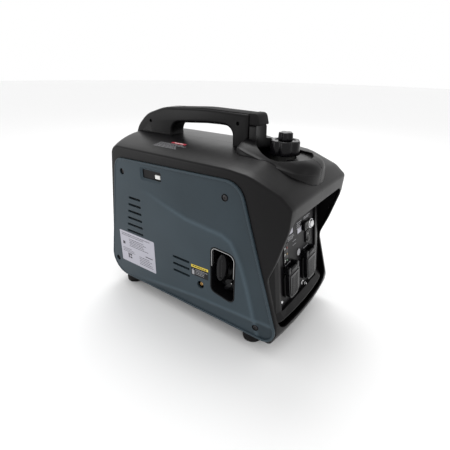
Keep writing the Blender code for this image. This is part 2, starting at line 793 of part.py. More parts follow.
def control_panel():
    place = panel_place()
    wide = PANEL_SIZE[0] / 2
    plate = prism("z", rectangle(-wide, wide, 0, PANEL_SIZE[1], 0.003), -PANEL_THICKNESS, 0)
    panel = add_object("control_panel", plate, "panel", place)
    for i, side in enumerate((-1, 1)):
        u = side * SOCKET_SPACING / 2
        hole = cylinder("z", (u, SOCKET_V), SOCKET_WELL_RADIUS + 0.0030, -0.02, 0.02)
        cut(panel, hole, f"socket hole {i + 1}", place)
    breaker = cylinder("z", BREAKER_UV, BREAKER_RADIUS + 0.0004, -0.02, 0.02, sides=20)
    cut(panel, breaker, "breaker hole", place)
    u, v = SWITCH_UV
    switch = rectangle(u - 0.0075, u + 0.0075, v - 0.0108, v + 0.0108)
    cut(panel, prism("z", switch, -0.02, 0.02), "switch hole", place)
    cut(panel, cylinder("z", EARTH_UV, 0.0033, -0.02, 0.02, sides=12), "earth hole", place)


def sockets():
    place = panel_place()
    half = SOCKET_PLATE / 2
    for name, side in (("socket_left", -1), ("socket_right", 1)):
        u = side * SOCKET_SPACING / 2
        face = rectangle(u - half, u + half, SOCKET_V - half, SOCKET_V + half, 0.006)
        socket = add_object(name, prism("z", face, GAP, 0.0055), "panel", place, bevel=0.0008)
        barrel = cylinder("z", (u, SOCKET_V), SOCKET_WELL_RADIUS + 0.0025, -0.024, 0.003)
        unite(socket, barrel, name + " barrel", place)
        well = cylinder("z", (u, SOCKET_V), SOCKET_WELL_RADIUS, -0.0170, 0.02)
        cut(socket, well, name + " well", place)
        for i, side_pin in enumerate((-1, 1)):
            pin = cylinder("z", (u + side_pin * 0.0095, SOCKET_V), 0.0024, -0.05, 0.02, sides=10)
            cut(socket, pin, f"{name} pin {i + 1}", place)


def lid_hinge_local(side):
    return Vector((side * SOCKET_SPACING / 2, SOCKET_V + SOCKET_PLATE / 2 + 0.0055, 0.0090))


def socket_lids():
    """The flip lids: each turns about the pin along its top edge."""
    place = panel_place()
    wide, tall, thick = LID_SIZE
    for name, side in (("socket_lid_left", -1), ("socket_lid_right", 1)):
        hinge = lid_hinge_local(side)
        lid_place = place @ Matrix.Translation(hinge)
        low = 0.0060 - hinge.z
        outline = rounded(
            (
                (-wide / 2 + 0.003, -tall, 0.012),
                (wide / 2 - 0.003, -tall, 0.012),
                (wide / 2, -0.006, 0.003),
                (-wide / 2, -0.006, 0.003),
            )
        )
        lid = add_object(name, prism("z", outline, low, low + thick), "casing", lid_place, bevel=0.0012)
        corners = ((low, -0.012, 0), (low + thick, -0.012, 0), (0.0042, 0.0035, 0.002), (low, 0.0035, 0.001))
        knuckle = [Vector((p.y, p.x)) for p in rounded(corners)]
        unite(lid, prism("x", knuckle, -0.0120, 0.0120), name + " knuckle", lid_place)


def panel_fittings():
    place = panel_place()
    u, v = LAMPS_UV
    strip = rectangle(u - 0.0075, u + 0.0075, v - 0.0205, v + 0.0205, 0.002)
    lamps = add_object("lamp_strip", prism("z", strip, GAP, 0.0012), "panel", place)
    for i in range(3):
        lens = cylinder("z", (u + 0.003, v + 0.0125 * (i - 1)), 0.0022, 0.0006, 0.0026, sides=12)
        unite(lamps, lens, f"lamp {i + 1}", place)

    u, v = SWITCH_UV
    frame = prism("z", rectangle(u - 0.0095, u + 0.0095, v - 0.0130, v + 0.0130, 0.002), GAP, 0.0025)
    frame_object = add_object("switch_frame", frame, "casing", place)
    half_u, half_v = ROCKER_SIZE[0] / 2 + GAP, ROCKER_SIZE[1] / 2 + 0.0006
    hole = prism("z", rectangle(u - half_u, u + half_u, v - half_v, v + half_v), -0.02, 0.02)
    cut(frame_object, hole, "rocker hole", place)

    rocker_place = place @ Matrix.Translation((u, v, -0.0010)) @ Matrix.Rotation(-ROCKER_TILT, 4, "X")
    half_u, half_v = ROCKER_SIZE[0] / 2, ROCKER_SIZE[1] / 2
    profile = (
        (-half_v + 0.001, -0.004),
        (half_v - 0.001, -0.004),
        (half_v - 0.0003, 0.0048),
        (0, 0.0032),
        (-half_v + 0.0003, 0.0048),
    )
    rocker = prism("x", [Vector(point) for point in profile], -half_u, half_u)
    add_object("eco_rocker", rocker, "casing", rocker_place)

    u, v = BREAKER_UV
    inner = BREAKER_RADIUS + GAP
    outer = inner + 0.0024
    collar = ((outer, 0.0040), (outer, GAP), (inner, GAP), (inner, 0.0040))
    turned("breaker_collar", collar, "steel", place @ Matrix.Translation((u, v, 0)), steps=20)
    button = (
        (0, 0.0072),
        (BREAKER_RADIUS - 0.0012, 0.0072),
        (BREAKER_RADIUS, 0.0060),
        (BREAKER_RADIUS, -0.0100),
        (0, -0.0100),
    )
    turned("breaker_button", button, "lamp", place @ Matrix.Translation((u, v, 0)), steps=20)

    u, v = EARTH_UV
    earth = ((0, 0.0100), (0.0028, 0.0100), (0.0028, 0.0062), (0.0050, 0.0062))
    earth += ((0.0050, GAP), (0.0030, GAP), (0.0030, -0.0120), (0, -0.0120))
    turned("earth_terminal", earth, "steel", place @ Matrix.Translation((u, v, 0)), steps=12)

    u, v = DC_UV
    block = rectangle(u - 0.0090, u + 0.0090, v - 0.0085, v + 0.0085, 0.002)
    outlet = add_object("dc_outlet", prism("z", block, GAP, 0.0060), "casing", place, bevel=0.0008)
    for i, side in enumerate((-1, 1)):
        slot = rectangle(u + side * 0.004 - 0.0008, u + side * 0.004 + 0.0008, v - 0.0035, v + 0.0035)
        cut(outlet, prism("z", slot, 0.0020, 0.02), f"dc slot {i + 1}", place)


# ---- Fuel tank and cap


def tank_outline():
    top = DECK_Z - 0.0140
    return rounded(
        (
            (CAP_X - 0.185, DECK_Z - 0.063, 0.010),
            (FRONT_X - 0.0400, DECK_Z - 0.063, 0.010),
            (FRONT_X - 0.0310, DECK_Z - 0.0420, 0.008),
            (FRONT_X - 0.0700, top - 0.0050, 0.030),
            (CAP_X - 0.185, top, 0.012),
        )
    )


def fuel_tank():
    half = SHELL_INNER_Y - 0.014
    tank = add_object("fuel_tank", prism("y", tank_outline(), -half, half), "tank", bevel=0.004)
    neck = cylinder("z", (CAP_X, 0), NECK_RADIUS, DECK_Z - 0.030, NECK_TOP_Z)
    unite(tank, neck, "tank neck")
    inside = prism("y", grown(tank_outline(), -TANK_WALL), -half + TANK_WALL, half - TANK_WALL)
    cut(tank, inside, "tank inside")
    mouth = cylinder("z", (CAP_X, 0), NECK_RADIUS - NECK_WALL, DECK_Z - 0.040, NECK_TOP_Z + 0.01)
    cut(tank, mouth, "tank mouth")
    outlet = cylinder("z", tank_outlet(), 0.0028, DECK_Z - 0.070, DECK_Z - 0.055, sides=12)
    cut(tank, outlet, "tank outlet")


def tank_outlet():
    return (CAP_X - 0.150, -0.060)


def cap_gasket():
    inner, outer = NECK_RADIUS - NECK_WALL, NECK_RADIUS
    low, high = NECK_TOP_Z + GAP, CAP_Z + CAP_HEIGHT - 0.0035 - GAP
    ring = ((outer, high), (outer, low), (inner, low), (inner, high))
    turned("cap_gasket", ring, "rubber", upright(CAP_X, 0, 0), steps=24)


def fuel_cap():
    """The lobed cap: its skirt turns round the neck."""
    outline = []
    for i in range(CAP_LOBES * 6):
        turn = math.tau * i / (CAP_LOBES * 6)
        radius = CAP_RADIUS - 0.0022 * (0.5 - 0.5 * math.cos(CAP_LOBES * turn)) ** 3
        outline.append(Vector((radius * math.cos(turn), radius * math.sin(turn))))
    place = upright(CAP_X, 0, CAP_Z)
    cap = add_object("fuel_cap", prism("z", outline, 0, CAP_HEIGHT), "casing", place, bevel=0.0012)
    inside = cylinder("z", (0, 0), NECK_RADIUS + CAP_CLEARANCE, -0.01, CAP_HEIGHT - 0.0035)
    cut(cap, inside, "cap inside", place)
    cut(cap, cylinder("z", (0, 0), 0.0032, -0.01, CAP_HEIGHT + 0.01, sides=12), "cap vent hole", place)


def vent_knob():
    """The small air-vent knob on the cap, on a stem through it."""
    low = CAP_HEIGHT + GAP
    outline = []
    for i in range(25):
        turn = math.tau * i / 25
        radius = VENT_KNOB_RADIUS - 0.0016 * (0.5 + 0.5 * math.cos(5 * turn)) ** 2
        outline.append(Vector((radius * math.cos(turn), radius * math.sin(turn))))
    place = upright(CAP_X, 0, CAP_Z)
    knob = add_object("vent_knob", prism("z", outline, low, low + 0.0130), "casing", place, bevel=0.0010)
    stem = cylinder("z", (0, 0), 0.0026, CAP_HEIGHT - 0.0060, low + 0.002, sides=12)
    unite(knob, stem, "vent stem", place)


# ---- Starter, fuel tap and choke


def window_outline():
    """The starter window, with a sloping top and foot."""
    half_x, half_z = WINDOW_SIZE[0] / 2, WINDOW_SIZE[1] / 2
    return rounded(
        (
            (WINDOW_X - half_x, WINDOW_Z - half_z + 0.009, 0.013),
            (WINDOW_X + half_x, WINDOW_Z - half_z - 0.002, 0.013),
            (WINDOW_X + half_x, WINDOW_Z + half_z - 0.004, 0.017),
            (WINDOW_X - half_x, WINDOW_Z + half_z, 0.013),
        )
    )


def grip_place():
    return (WINDOW_X - 0.0085, -COVER_Y + 0.0100, WINDOW_Z + 0.0120)


def tap_place():
    return (WINDOW_X + 0.0050, WINDOW_Z - 0.0300)


def recoil_bezel():
    """The deep pocket that the starter grip rests in."""
    outer = -COVER_Y
    deep = outer + BEZEL_DEPTH
    bezel = add_object("recoil_bezel", prism("y", window_outline(), outer, deep), "casing", bevel=0.0008)
    pocket = prism("y", grown(window_outline(), -BEZEL_WALL), outer - 0.01, deep - BEZEL_WALL)
    cut(bezel, pocket, "bezel pocket")
    grip = grip_place()
    wall_x = WINDOW_X - WINDOW_SIZE[0] / 2
    rope = cylinder("x", (rope_y(), grip[2]), ROPE_RADIUS + 0.0015, wall_x - 0.01, wall_x + 0.01, sides=12)
    cut(bezel, rope, "rope hole")
    tap = cylinder("y", tap_place(), 0.0048, deep - 0.02, deep + 0.01, sides=16)
    cut(bezel, tap, "tap hole")


def bezel_trim():
    """The bright arch round the upper half of the window."""
    inner = grown(window_outline(), -BEZEL_WALL - GAP)
    outer = -COVER_Y + 0.0005
    trim = add_object("bezel_trim", prism("y", inner, outer, outer + 0.006), "aluminium")
    core = grown(inner, -TRIM_THICKNESS)
    cut(trim, prism("y", core, outer - 0.01, outer + 0.02), "trim inside")
    low = rounded(
        (
            (WINDOW_X - 0.05, 0.02, 0),
            (WINDOW_X + 0.05, 0.02, 0),
            (WINDOW_X + 0.05, WINDOW_Z + 0.002, 0),
            (WINDOW_X - 0.05, WINDOW_Z + 0.014, 0),
        )
    )
    cut(trim, prism("y", low, outer - 0.01, outer + 0.02), "trim lower half")


def starter_grip():
    wide, tall, deep = GRIP_SIZE
    sections = []
    layers = ((0.0, 0.55), (0.2, 0.86), (0.45, 1.0), (0.75, 0.93), (1.0, 0.62))
    x, y, z = grip_place()
    for along, share in layers:
        ring = []
        for i in range(20):
            turn = math.tau * i / 20
            across = Vector((wide / 2 * share * math.cos(turn), tall / 2 * share ** 0.5 * math.sin(turn)))
            across.rotate(Matrix.Rotation(-GRIP_TILT, 2))
            ring.append(Vector((x + across.x, y - deep / 2 + deep * along, z + across.y)))
        sections.append(ring)
    add_object("starter_grip", loft(sections), "casing", origin=(x, y, z))


def recoil_y(depth):
    """A plane that far in from the starter-side cover's outside."""
    return -COVER_Y + depth


def rope_y():
    """The rope's run through the side of the pocket, behind the grip."""
    return grip_place()[1] + GRIP_SIZE[2] / 2 + GAP + 0.0050


def starter_rope():
    """The cord from the reel to the back of the grip, round the guide."""
    x, y, z = grip_place()
    reel_z = CRANK_Z + ROPE_TURN_RADIUS
    back = y + GRIP_SIZE[2] / 2 + GAP
    points = (
        (CRANK_X + 0.002, recoil_y(0.0155), reel_z),
        (CRANK_X + 0.032, recoil_y(0.0160), reel_z),
        (CRANK_X + HOUSING_RADIUS + 0.012, rope_y(), z + 0.001),
        (x - 0.006, rope_y(), z),
        (x - 0.0018, rope_y() - 0.0006, z),
        (x, rope_y() - 0.0022, z),
        (x, back, z),
    )
    curve = bpy.data.curves.new("starter_rope", "CURVE")
    curve.dimensions = "3D"
    curve.bevel_depth = ROPE_RADIUS
    curve.bevel_resolution = 1
    curve.use_fill_caps = True
    curve.materials.append(look("rope"))
    spline = curve.splines.new("POLY")
    spline.points.add(len(points) - 1)
    for point, place in zip(spline.points, points):
        point.co = (*place, 1)
    rope = bpy.data.objects.new("starter_rope", curve)
    bpy.data.collections["portable_generator"].objects.link(rope)


def starter_unit():
    """The recoil housing on its post, and the reel that turns on it."""
    outer = recoil_y(0.0065)
    housing_deep = 0.0180
    profile = (
        (0, 0),
        (HOUSING_RADIUS - 0.004, 0),
        (HOUSING_RADIUS, -0.004),
        (HOUSING_RADIUS, -housing_deep),
        (HOUSING_RADIUS - 0.0025, -housing_deep),
        (HOUSING_RADIUS - 0.0025, -0.0045),
        (HOUSING_RADIUS - 0.005, -0.0025),
        (0.0080, -0.0025),
        (0.0080, -housing_deep + 0.002),
        (0, -housing_deep + 0.002),
    )
    place = at_starter_side(CRANK_X, outer, CRANK_Z)
    housing = turned("recoil_housing", profile, "casing", place, steps=24)
    for i in range(6):
        turn = math.tau * (i + 0.5) / 6
        x, z = CRANK_X + 0.0285 * math.cos(turn), CRANK_Z + 0.0285 * math.sin(turn)
        hole = cylinder("y", (x, z), 0.0080, outer - 0.01, outer + 0.008, sides=10)
        cut(housing, hole, f"air hole {i + 1}")
    exit_z = CRANK_Z + ROPE_TURN_RADIUS
    slot_low = (CRANK_X + 0.020, recoil_y(0.0125), exit_z - 0.006)
    slot_high = (CRANK_X + 0.060, recoil_y(0.030), exit_z + 0.005)
    cut(housing, box(slot_low, slot_high), "rope exit")

    half = 0.0050
    groove = ((0.0085, half), (REEL_RADIUS, half), (REEL_RADIUS, 0.0030))
    groove += ((0.0310, 0.0026), (0.0310, -0.0026))
    groove += ((REEL_RADIUS, -0.0030), (REEL_RADIUS, -half), (0.0085, -half))
    turned("recoil_reel", groove, "casing", at_starter_side(CRANK_X, recoil_y(0.0155), CRANK_Z), steps=20)


def tap_back_y():
    return recoil_y(BEZEL_DEPTH + GAP) + TAP_BODY_DEPTH


def fuel_tap():
    x, z = tap_place()
    face = recoil_y(0.0120)
    body_top = recoil_y(BEZEL_DEPTH + GAP)
    body = box((x - 0.012, body_top, z - 0.014), (x + 0.012, tap_back_y(), z + 0.014))
    tap = add_object("fuel_tap_body", body, "aluminium", bevel=0.002)
    cut(tap, cylinder("y", (x, z), 0.0044, body_top - 0.01, body_top + 0.012, sides=16), "tap bore")

    knob_deep = 0.0120
    knob_place = at_starter_side(x, face, z)
    disc = cylinder("z", (0, 0), TAP_KNOB_RADIUS, -knob_deep, -0.004, sides=24)
    knob = add_object("fuel_tap_knob", disc, "casing", knob_place, bevel=0.0010)
    bar = rectangle(-0.0035, 0.0035, -TAP_KNOB_RADIUS + 0.0005, TAP_KNOB_RADIUS - 0.0005, 0.0015)
    turn = knob_place @ Matrix.Rotation(TAP_TURN, 4, "Z")
    unite(knob, prism("z", bar, -0.006, 0), "tap bar", turn)
    stem = cylinder("z", (0, 0), 0.0040, face - body_top - 0.010, -knob_deep + 0.001, sides=16)
    unite(knob, stem, "tap stem", knob_place)


def choke_outline():
    left = REAR_X + 0.133
    low = COVER_TOP_Z - 0.038
    return rectangle(left, left + CHOKE_WINDOW[0], low, low + CHOKE_WINDOW[1], 0.002)


def choke_lever():
    """The sliding choke tab in its window, with the slider plate behind the cover."""
    right = REAR_X + 0.133 + CHOKE_WINDOW[0]
    low = COVER_TOP_Z - 0.038
    behind = recoil_y(COVER_THICKNESS + 0.0012)
    tab_low = (right - 0.0150, recoil_y(0.0006), low + 0.004)
    tab_high = (right - 0.0020, behind + 0.002, low + 0.0120)
    tab = box(tab_low, tab_high)
    lever = add_object("choke_lever", tab, "lamp", bevel=0.0006)
    plate = box((right - 0.0230, behind, low - 0.004), (right + 0.0040, behind + 0.0025, low + 0.0180))
    unite(lever, plate, "choke plate")


def drain_stud():
    x, z = port_place()
    profile = ((0, 0), (0.0030, 0), (0.0040, -0.001), (0.0040, -0.004))
    profile += ((0.0062, -0.004), (0.0062, -0.010), (0, -0.010))
    turned("drain_stud", profile, "brass", at_starter_side(x, recoil_y(0.0012), z), steps=16)


# ---- Engine and alternator


def crank_y(depth):
    """Depths along the crankshaft are counted in from the starter-side cover."""
    return -COVER_Y + depth


def crankcase():
    low, high = crank_y(0.0940), crank_y(0.1700)
    outline = rounded(
        (
            (CRANK_X - 0.052, CRANK_Z - 0.050, 0.012),
            (CRANK_X + 0.052, CRANK_Z - 0.050, 0.012),
            (CRANK_X + 0.052, CRANK_Z + 0.048, 0.020),
            (CRANK_X - 0.016, CRANK_Z + 0.052, 0.010),
            (CRANK_X - 0.054, CRANK_Z - 0.006, 0.010),
        )
    )
    case = add_object("crankcase", prism("y", outline, low, high), "aluminium", bevel=0.003)
    for i, side in enumerate((-1, 1)):
        x = CRANK_X + side * 0.034
        leg = box((x - 0.012, low + 0.006, SHELL_LOW_Z + GAP), (x + 0.012, high - 0.006, CRANK_Z - 0.040))
        unite(case, leg, f"engine foot {i + 1}")
    bore = cylinder("y", (CRANK_X, CRANK_Z), SHAFT_RADIUS + GAP, low - 0.01, high - 0.010, sides=24)
    cut(case, bore, "main bore")


def cylinder_place(along):
    """A place on the cylinder's axis that far from the crankshaft, local Z outwards."""
    out = Vector((-math.cos(CYLINDER_ANGLE), 0, math.sin(CYLINDER_ANGLE)))
    centre = Vector((CRANK_X, crank_y(0.132), CRANK_Z)) + out * along
    return Matrix.Translation(centre) @ Matrix.Rotation(CYLINDER_ANGLE - math.pi / 2, 4, "Y")


def engine_top_end():
    start = 0.0530
    fins = 4
    pitch = BARREL_LENGTH / fins
    profile = [(0, BARREL_LENGTH), (BARREL_RADIUS, BARREL_LENGTH)]
    for i in range(fins - 1, -1, -1):
        middle = pitch * (i + 0.5)
        profile += [(BARREL_RADIUS, middle + 0.0014), (FIN_RADIUS, middle + 0.0010)]
        profile += [(FIN_RADIUS, middle - 0.0010), (BARREL_RADIUS, middle - 0.0014)]
    profile += [(BARREL_RADIUS, 0), (0, 0)]
    turned("cylinder_barrel", profile, "aluminium", cylinder_place(start), steps=16)

    head_place = cylinder_place(start + BARREL_LENGTH + GAP)
    half = FIN_RADIUS - 0.003
    block = prism("z", rectangle(-half, half, -half, half, 0.006), 0, 0.024)
    head = add_object("cylinder_head", block, "aluminium", head_place, bevel=0.002)
    for i, side in enumerate((-1, 1)):
        v = side * 0.018
        slot = box((-half - 0.01, v - 0.003, 0.012), (half + 0.01, v + 0.003, 0.04))
        cut(head, slot, f"head slot {i + 1}", head_place)
    plug_hole = cylinder("z", (0, 0), 0.0053, 0.004, 0.05, sides=12)
    cut(head, plug_hole, "plug hole", head_place)
    plug = ((0, 0.046), (0.0030, 0.046), (0.0045, 0.040), (0.0045, 0.034), (0.0080, 0.033), (0.0080, 0.0245))
    plug += ((0.0050, 0.0245), (0.0050, 0.006), (0, 0.006))
    turned("spark_plug", plug, "steel", head_place, steps=12)


def exhaust_place():
    return (0.045, 0.116)


def exhaust():
    y, z = exhaust_place()
    low = Vector((REAR_X + 0.028, -0.030, 0.066))
    high = Vector((REAR_X + 0.088, 0.090, 0.140))
    muffler = add_object("muffler", box(low, high), "steel")
    add_bevel(muffler, 0.010, segments=2)
    start = rear_wall_x(y, z) + 0.001
    pipe = cylinder("x", (y, z), EXHAUST_RADIUS, start, low.x - GAP, sides=20)
    pipe_object = add_object("exhaust_pipe", pipe, "steel")
    bore = cylinder("x", (y, z), EXHAUST_RADIUS - 0.0015, start - 0.01, low.x - 0.004, sides=20)
    cut(pipe_object, bore, "pipe bore")


def intake():
    low = Vector((CRANK_X + 0.002, 0.034, CRANK_Z + 0.064))
    high = Vector((CRANK_X + 0.082, 0.104, CRANK_Z + 0.136))
    cleaner = add_object("air_cleaner", box(low, high), "casing")
    add_bevel(cleaner, 0.006, segments=1)
    body_low = (low.x - 0.046, low.y + 0.010, low.z + 0.012)
    body_high = (low.x - GAP, low.y + 0.046, low.z + 0.050)
    carb = add_object("carburettor", box(body_low, body_high), "aluminium", bevel=0.004)
    bowl = cylinder("z", (low.x - 0.024, low.y + 0.028), 0.0150, low.z - 0.008, low.z + 0.014, sides=20)
    unite(carb, bowl, "float bowl")


def crank_train():
    """The crankshaft with the outer-rotor alternator and its fan, coaxial with the starter."""
    low, high = crank_y(0.0310), crank_y(0.1580)
    shaft = cylinder("y", (CRANK_X, CRANK_Z), SHAFT_RADIUS, low, high, sides=24)
    add_object("crankshaft", shaft, "steel", origin=(CRANK_X, crank_y(0.090), CRANK_Z))

    face = crank_y(0.0420)
    deep = 0.0450
    bore = SHAFT_RADIUS + GAP
    profile = (
        (bore, 0),
        (ROTOR_RADIUS, 0),
        (ROTOR_RADIUS, -deep),
        (STATOR_RADIUS + 0.0035, -deep),
        (STATOR_RADIUS + 0.0035, -0.006),
        (bore + 0.008, -0.006),
        (bore + 0.008, -0.012),
        (bore, -0.012),
    )
    place = at_starter_side(CRANK_X, face, CRANK_Z)
    rotor = turned("flywheel_rotor", profile, "steel", place, steps=24)
    for i in range(8):
        blade = box((0.030, -0.0012, -0.003), (ROTOR_RADIUS - 0.002, 0.0012, 0.009))
        turn = place @ Matrix.Rotation(math.tau * i / 8, 4, "Z")
        unite(rotor, blade, f"fan blade {i + 1}", turn)

    inner = SHAFT_RADIUS + 0.004
    ring = ((STATOR_RADIUS, -0.010), (STATOR_RADIUS, -0.040))
    ring += ((inner + 0.012, -0.040), (inner + 0.012, -0.046), (inner, -0.046))
    ring += ((inner, -0.0145), (inner + 0.012, -0.0145), (inner + 0.012, -0.010))
    turned("stator", ring, "copper", place, steps=24)


def electrics():
    half = -tap_back_y() - GAP / 2
    low = Vector((FRONT_X - 0.118, -half, 0.052))
    high = Vector((FRONT_X - 0.078, half, 0.190))
    unit = add_object("inverter_unit", box(low, high), "aluminium", bevel=0.002)
    for i in range(6):
        y = -0.055 + 0.022 * i
        groove = box((low.x - 0.01, y - 0.004, low.z - 0.01), (low.x + 0.010, y + 0.004, high.z + 0.01))
        cut(unit, groove, f"cooling groove {i + 1}")
    coil_low = (CRANK_X - 0.020, crank_y(0.100), CRANK_Z + 0.0725)
    coil_high = (CRANK_X + 0.016, crank_y(0.124), CRANK_Z + 0.092)
    add_object("ignition_coil", box(coil_low, coil_high), "casing", bevel=0.002)


def main():
    clear_scene()
    new_collection("portable_generator")
    new_collection("cutters").hide_render = True
    body_shell("left_body_shell", -1)
    body_shell("right_body_shell", 1)
    left_cover()
    side_cover("right_side_cover", 1)
    rating_plate()
    cover_screws()
    rear_cover()
    base_tray()
    feet()
    tank_cowl()
    handle_half("left_handle_half", -1)
    handle_half("right_handle_half", 1)
    handle_grip()
    front_bay()
    control_panel()
    sockets()
    socket_lids()
    panel_fittings()
    fuel_tank()
    cap_gasket()
    fuel_cap()
    vent_knob()
    recoil_bezel()
    bezel_trim()
    starter_grip()
    starter_rope()
    starter_unit()
    fuel_tap()
    choke_lever()
    drain_stud()
    crankcase()
    engine_top_end()
    exhaust()
    intake()
    crank_train()
    electrics()


main()
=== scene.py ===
import math
import random

import bmesh
import bpy
from mathutils import Matrix, Vector


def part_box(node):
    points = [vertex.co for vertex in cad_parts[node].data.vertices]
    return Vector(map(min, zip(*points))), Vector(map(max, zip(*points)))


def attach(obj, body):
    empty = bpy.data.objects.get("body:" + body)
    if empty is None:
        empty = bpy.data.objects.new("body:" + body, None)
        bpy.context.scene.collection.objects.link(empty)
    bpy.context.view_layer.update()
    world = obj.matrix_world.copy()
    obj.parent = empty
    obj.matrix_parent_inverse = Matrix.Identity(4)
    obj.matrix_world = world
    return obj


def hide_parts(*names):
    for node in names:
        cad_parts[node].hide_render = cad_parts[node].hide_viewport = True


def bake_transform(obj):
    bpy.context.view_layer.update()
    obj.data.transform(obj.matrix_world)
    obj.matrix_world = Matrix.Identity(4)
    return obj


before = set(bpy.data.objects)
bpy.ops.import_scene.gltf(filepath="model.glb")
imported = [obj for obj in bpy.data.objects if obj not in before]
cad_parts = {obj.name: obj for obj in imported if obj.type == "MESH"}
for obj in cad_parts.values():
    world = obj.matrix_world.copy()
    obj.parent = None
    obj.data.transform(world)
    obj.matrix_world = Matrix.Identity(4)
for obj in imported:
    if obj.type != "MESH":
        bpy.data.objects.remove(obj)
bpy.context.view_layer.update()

bl_info = {
    "name": "Portable Generator",
    "version": (1, 0, 0),
    "blender": (4, 5, 0),
    "location": "3D View > Sidebar > Generator",
    "description": "Builds the pieces and finishes of a portable inverter generator",
    "category": "Object",
}

# Main places, from the frame
COVER_LOW, COVER_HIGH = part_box("left_side_cover")
TRAY_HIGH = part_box("base_tray")[1]
CAP_LOW, CAP_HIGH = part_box("fuel_cap")
KNOB_LOW, KNOB_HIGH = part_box("vent_knob")
GRIP_LOW, GRIP_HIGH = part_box("starter_grip")
TAP_LOW, TAP_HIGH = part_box("fuel_tap_knob")
BEZEL_LOW, BEZEL_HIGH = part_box("recoil_bezel")
REEL_LOW, REEL_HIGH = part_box("recoil_reel")
END_CAP_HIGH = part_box("grip_end_cap")[1]
PLATE_LOW, PLATE_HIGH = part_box("rating_plate")

FRONT_X = 0.230
REAR_X = -0.230
COVER_Y = -COVER_LOW.y
SHELL_Y = COVER_Y - 0.0009
DECK_Z = 0.349
SHELL_LOW_Z = TRAY_HIGH.z + 0.0003
HANDLE_TOP_Z = END_CAP_HIGH.z
GAP = 0.0003
SHELL_WALL = 0.0035
DECK_CROWN = 0.014
REAR_BOW = 0.0037
REAR_TOP_BOW = 0.0340
LIP_BOW = 0.0085
COVER_THICKNESS = 0.0023
COVER_INNER_Y = COVER_Y - COVER_THICKNESS
FLANGE_Y = COVER_INNER_Y - GAP
COVER_TOP_Z = COVER_HIGH.z
WINDOW_X = (BEZEL_LOW.x + BEZEL_HIGH.x) / 2
WINDOW_Z = 0.145
CRANK_X = (REEL_LOW.x + REEL_HIGH.x) / 2
CRANK_Z = (REEL_LOW.z + REEL_HIGH.z) / 2
CAP_X = (CAP_LOW.x + CAP_HIGH.x) / 2
WELL_FLOOR_Z = DECK_Z + 0.0035
WELL_RADIUS = 0.052
LEG_FRONT_X = FRONT_X - 0.149
LEG_BACK_X = LEG_FRONT_X - 0.035
PANEL_TILT = math.radians(7.1)
PANEL_LOW_X = FRONT_X - 0.024
PANEL_LOW_Z = 0.083
UPSTAND_LAYERS = (
    (-0.0195, 0.004), (-0.0190, 0.0022), (-0.0175, 0.0006), (-0.0155, 0.0), (0.0155, 0.0), (0.0175, 0.0006),
    (0.0190, 0.0022), (0.0195, 0.004),
)
CHOKE_X = REAR_X + 0.133
CHOKE_Z = COVER_TOP_Z - 0.038
PORT_XZ = (FRONT_X - 0.180, 0.101)


# ---- Settings


class GeneratorCasingSettings(bpy.types.PropertyGroup):
    """Sizes and colours of the casing and its side covers."""

    casing_colour: bpy.props.FloatVectorProperty(
        name="Casing colour",
        description="Moulded plastic of the casing, cowl and handle",
        default=(0.0026, 0.0023, 0.0027),
        min=0,
        max=1,
        subtype="COLOR",
    )
    cover_colour: bpy.props.FloatVectorProperty(
        name="Cover colour",
        description="Painted plastic of the side covers",
        default=(0.034, 0.049, 0.060),
        min=0,
        max=1,
        subtype="COLOR",
    )
    edge_radius: bpy.props.FloatProperty(
        name="Edge radius",
        description="Rounding between the casing's sides and its deck",
        default=0.0040,
        min=0.001,
        max=0.008,
        subtype="DISTANCE",
        unit="LENGTH",
    )
    cover_proud: bpy.props.FloatProperty(
        name="Cover rise",
        description="How far the middle facet of a cover stands out of its edge",
        default=0.0022,
        min=0,
        max=0.004,
        subtype="DISTANCE",
        unit="LENGTH",
    )
    facet_slope: bpy.props.FloatProperty(
        name="Facet slope",
        description="Lean of a cover's upper and lower facets",
        default=math.radians(1.1),
        min=0,
        max=math.radians(8),
        subtype="ANGLE",
        unit="ROTATION",
    )
    rim_width: bpy.props.FloatProperty(
        name="Rim width",
        description="Width of the raised border round a cover",
        default=0.0042,
        min=0.001,
        max=0.010,
        subtype="DISTANCE",
        unit="LENGTH",
    )


class GeneratorStageSettings(bpy.types.PropertyGroup):
    """Floor and lights."""

    floor_colour: bpy.props.FloatVectorProperty(
        name="Floor colour",
        description="Pale studio floor",
        default=(0.93, 0.93, 0.93),
        min=0,
        max=1,
        subtype="COLOR",
    )
    key_power: bpy.props.FloatProperty(
        name="Key power",
        description="Power of the soft light above the generator, in watts",
        default=9.0,
        min=0,
        unit="POWER",
    )
    side_power: bpy.props.FloatProperty(
        name="Side power",
        description="Power of the soft light on the starter side, in watts",
        default=5.0,
        min=0,
        unit="POWER",
    )
    ambient: bpy.props.FloatProperty(
        name="Ambient light",
        description="Strength of the even light from all round",
        default=1.0,
        min=0,
    )


# ---- Shader maths


class Value:
    """A shader socket that takes part in arithmetic."""

    def __init__(self, finish, socket):
        self.finish = finish
        self.socket = socket

    def math(self, operation, *others):
        inputs = dict(enumerate((self, *others)))
        return self.finish.node("ShaderNodeMath", {"operation": operation}, inputs)

    def __add__(self, other):
        return self.math("ADD", other)

    def __sub__(self, other):
        return self.math("SUBTRACT", other)

    def __mul__(self, other):
        return self.math("MULTIPLY", other)

    def __truediv__(self, other):
        return self.math("DIVIDE", other)

    __radd__ = __add__
    __rmul__ = __mul__

    def __rsub__(self, other):
        return self.math("MULTIPLY", -1.0) + other

    def above(self, limit):
        return self.math("GREATER_THAN", limit)


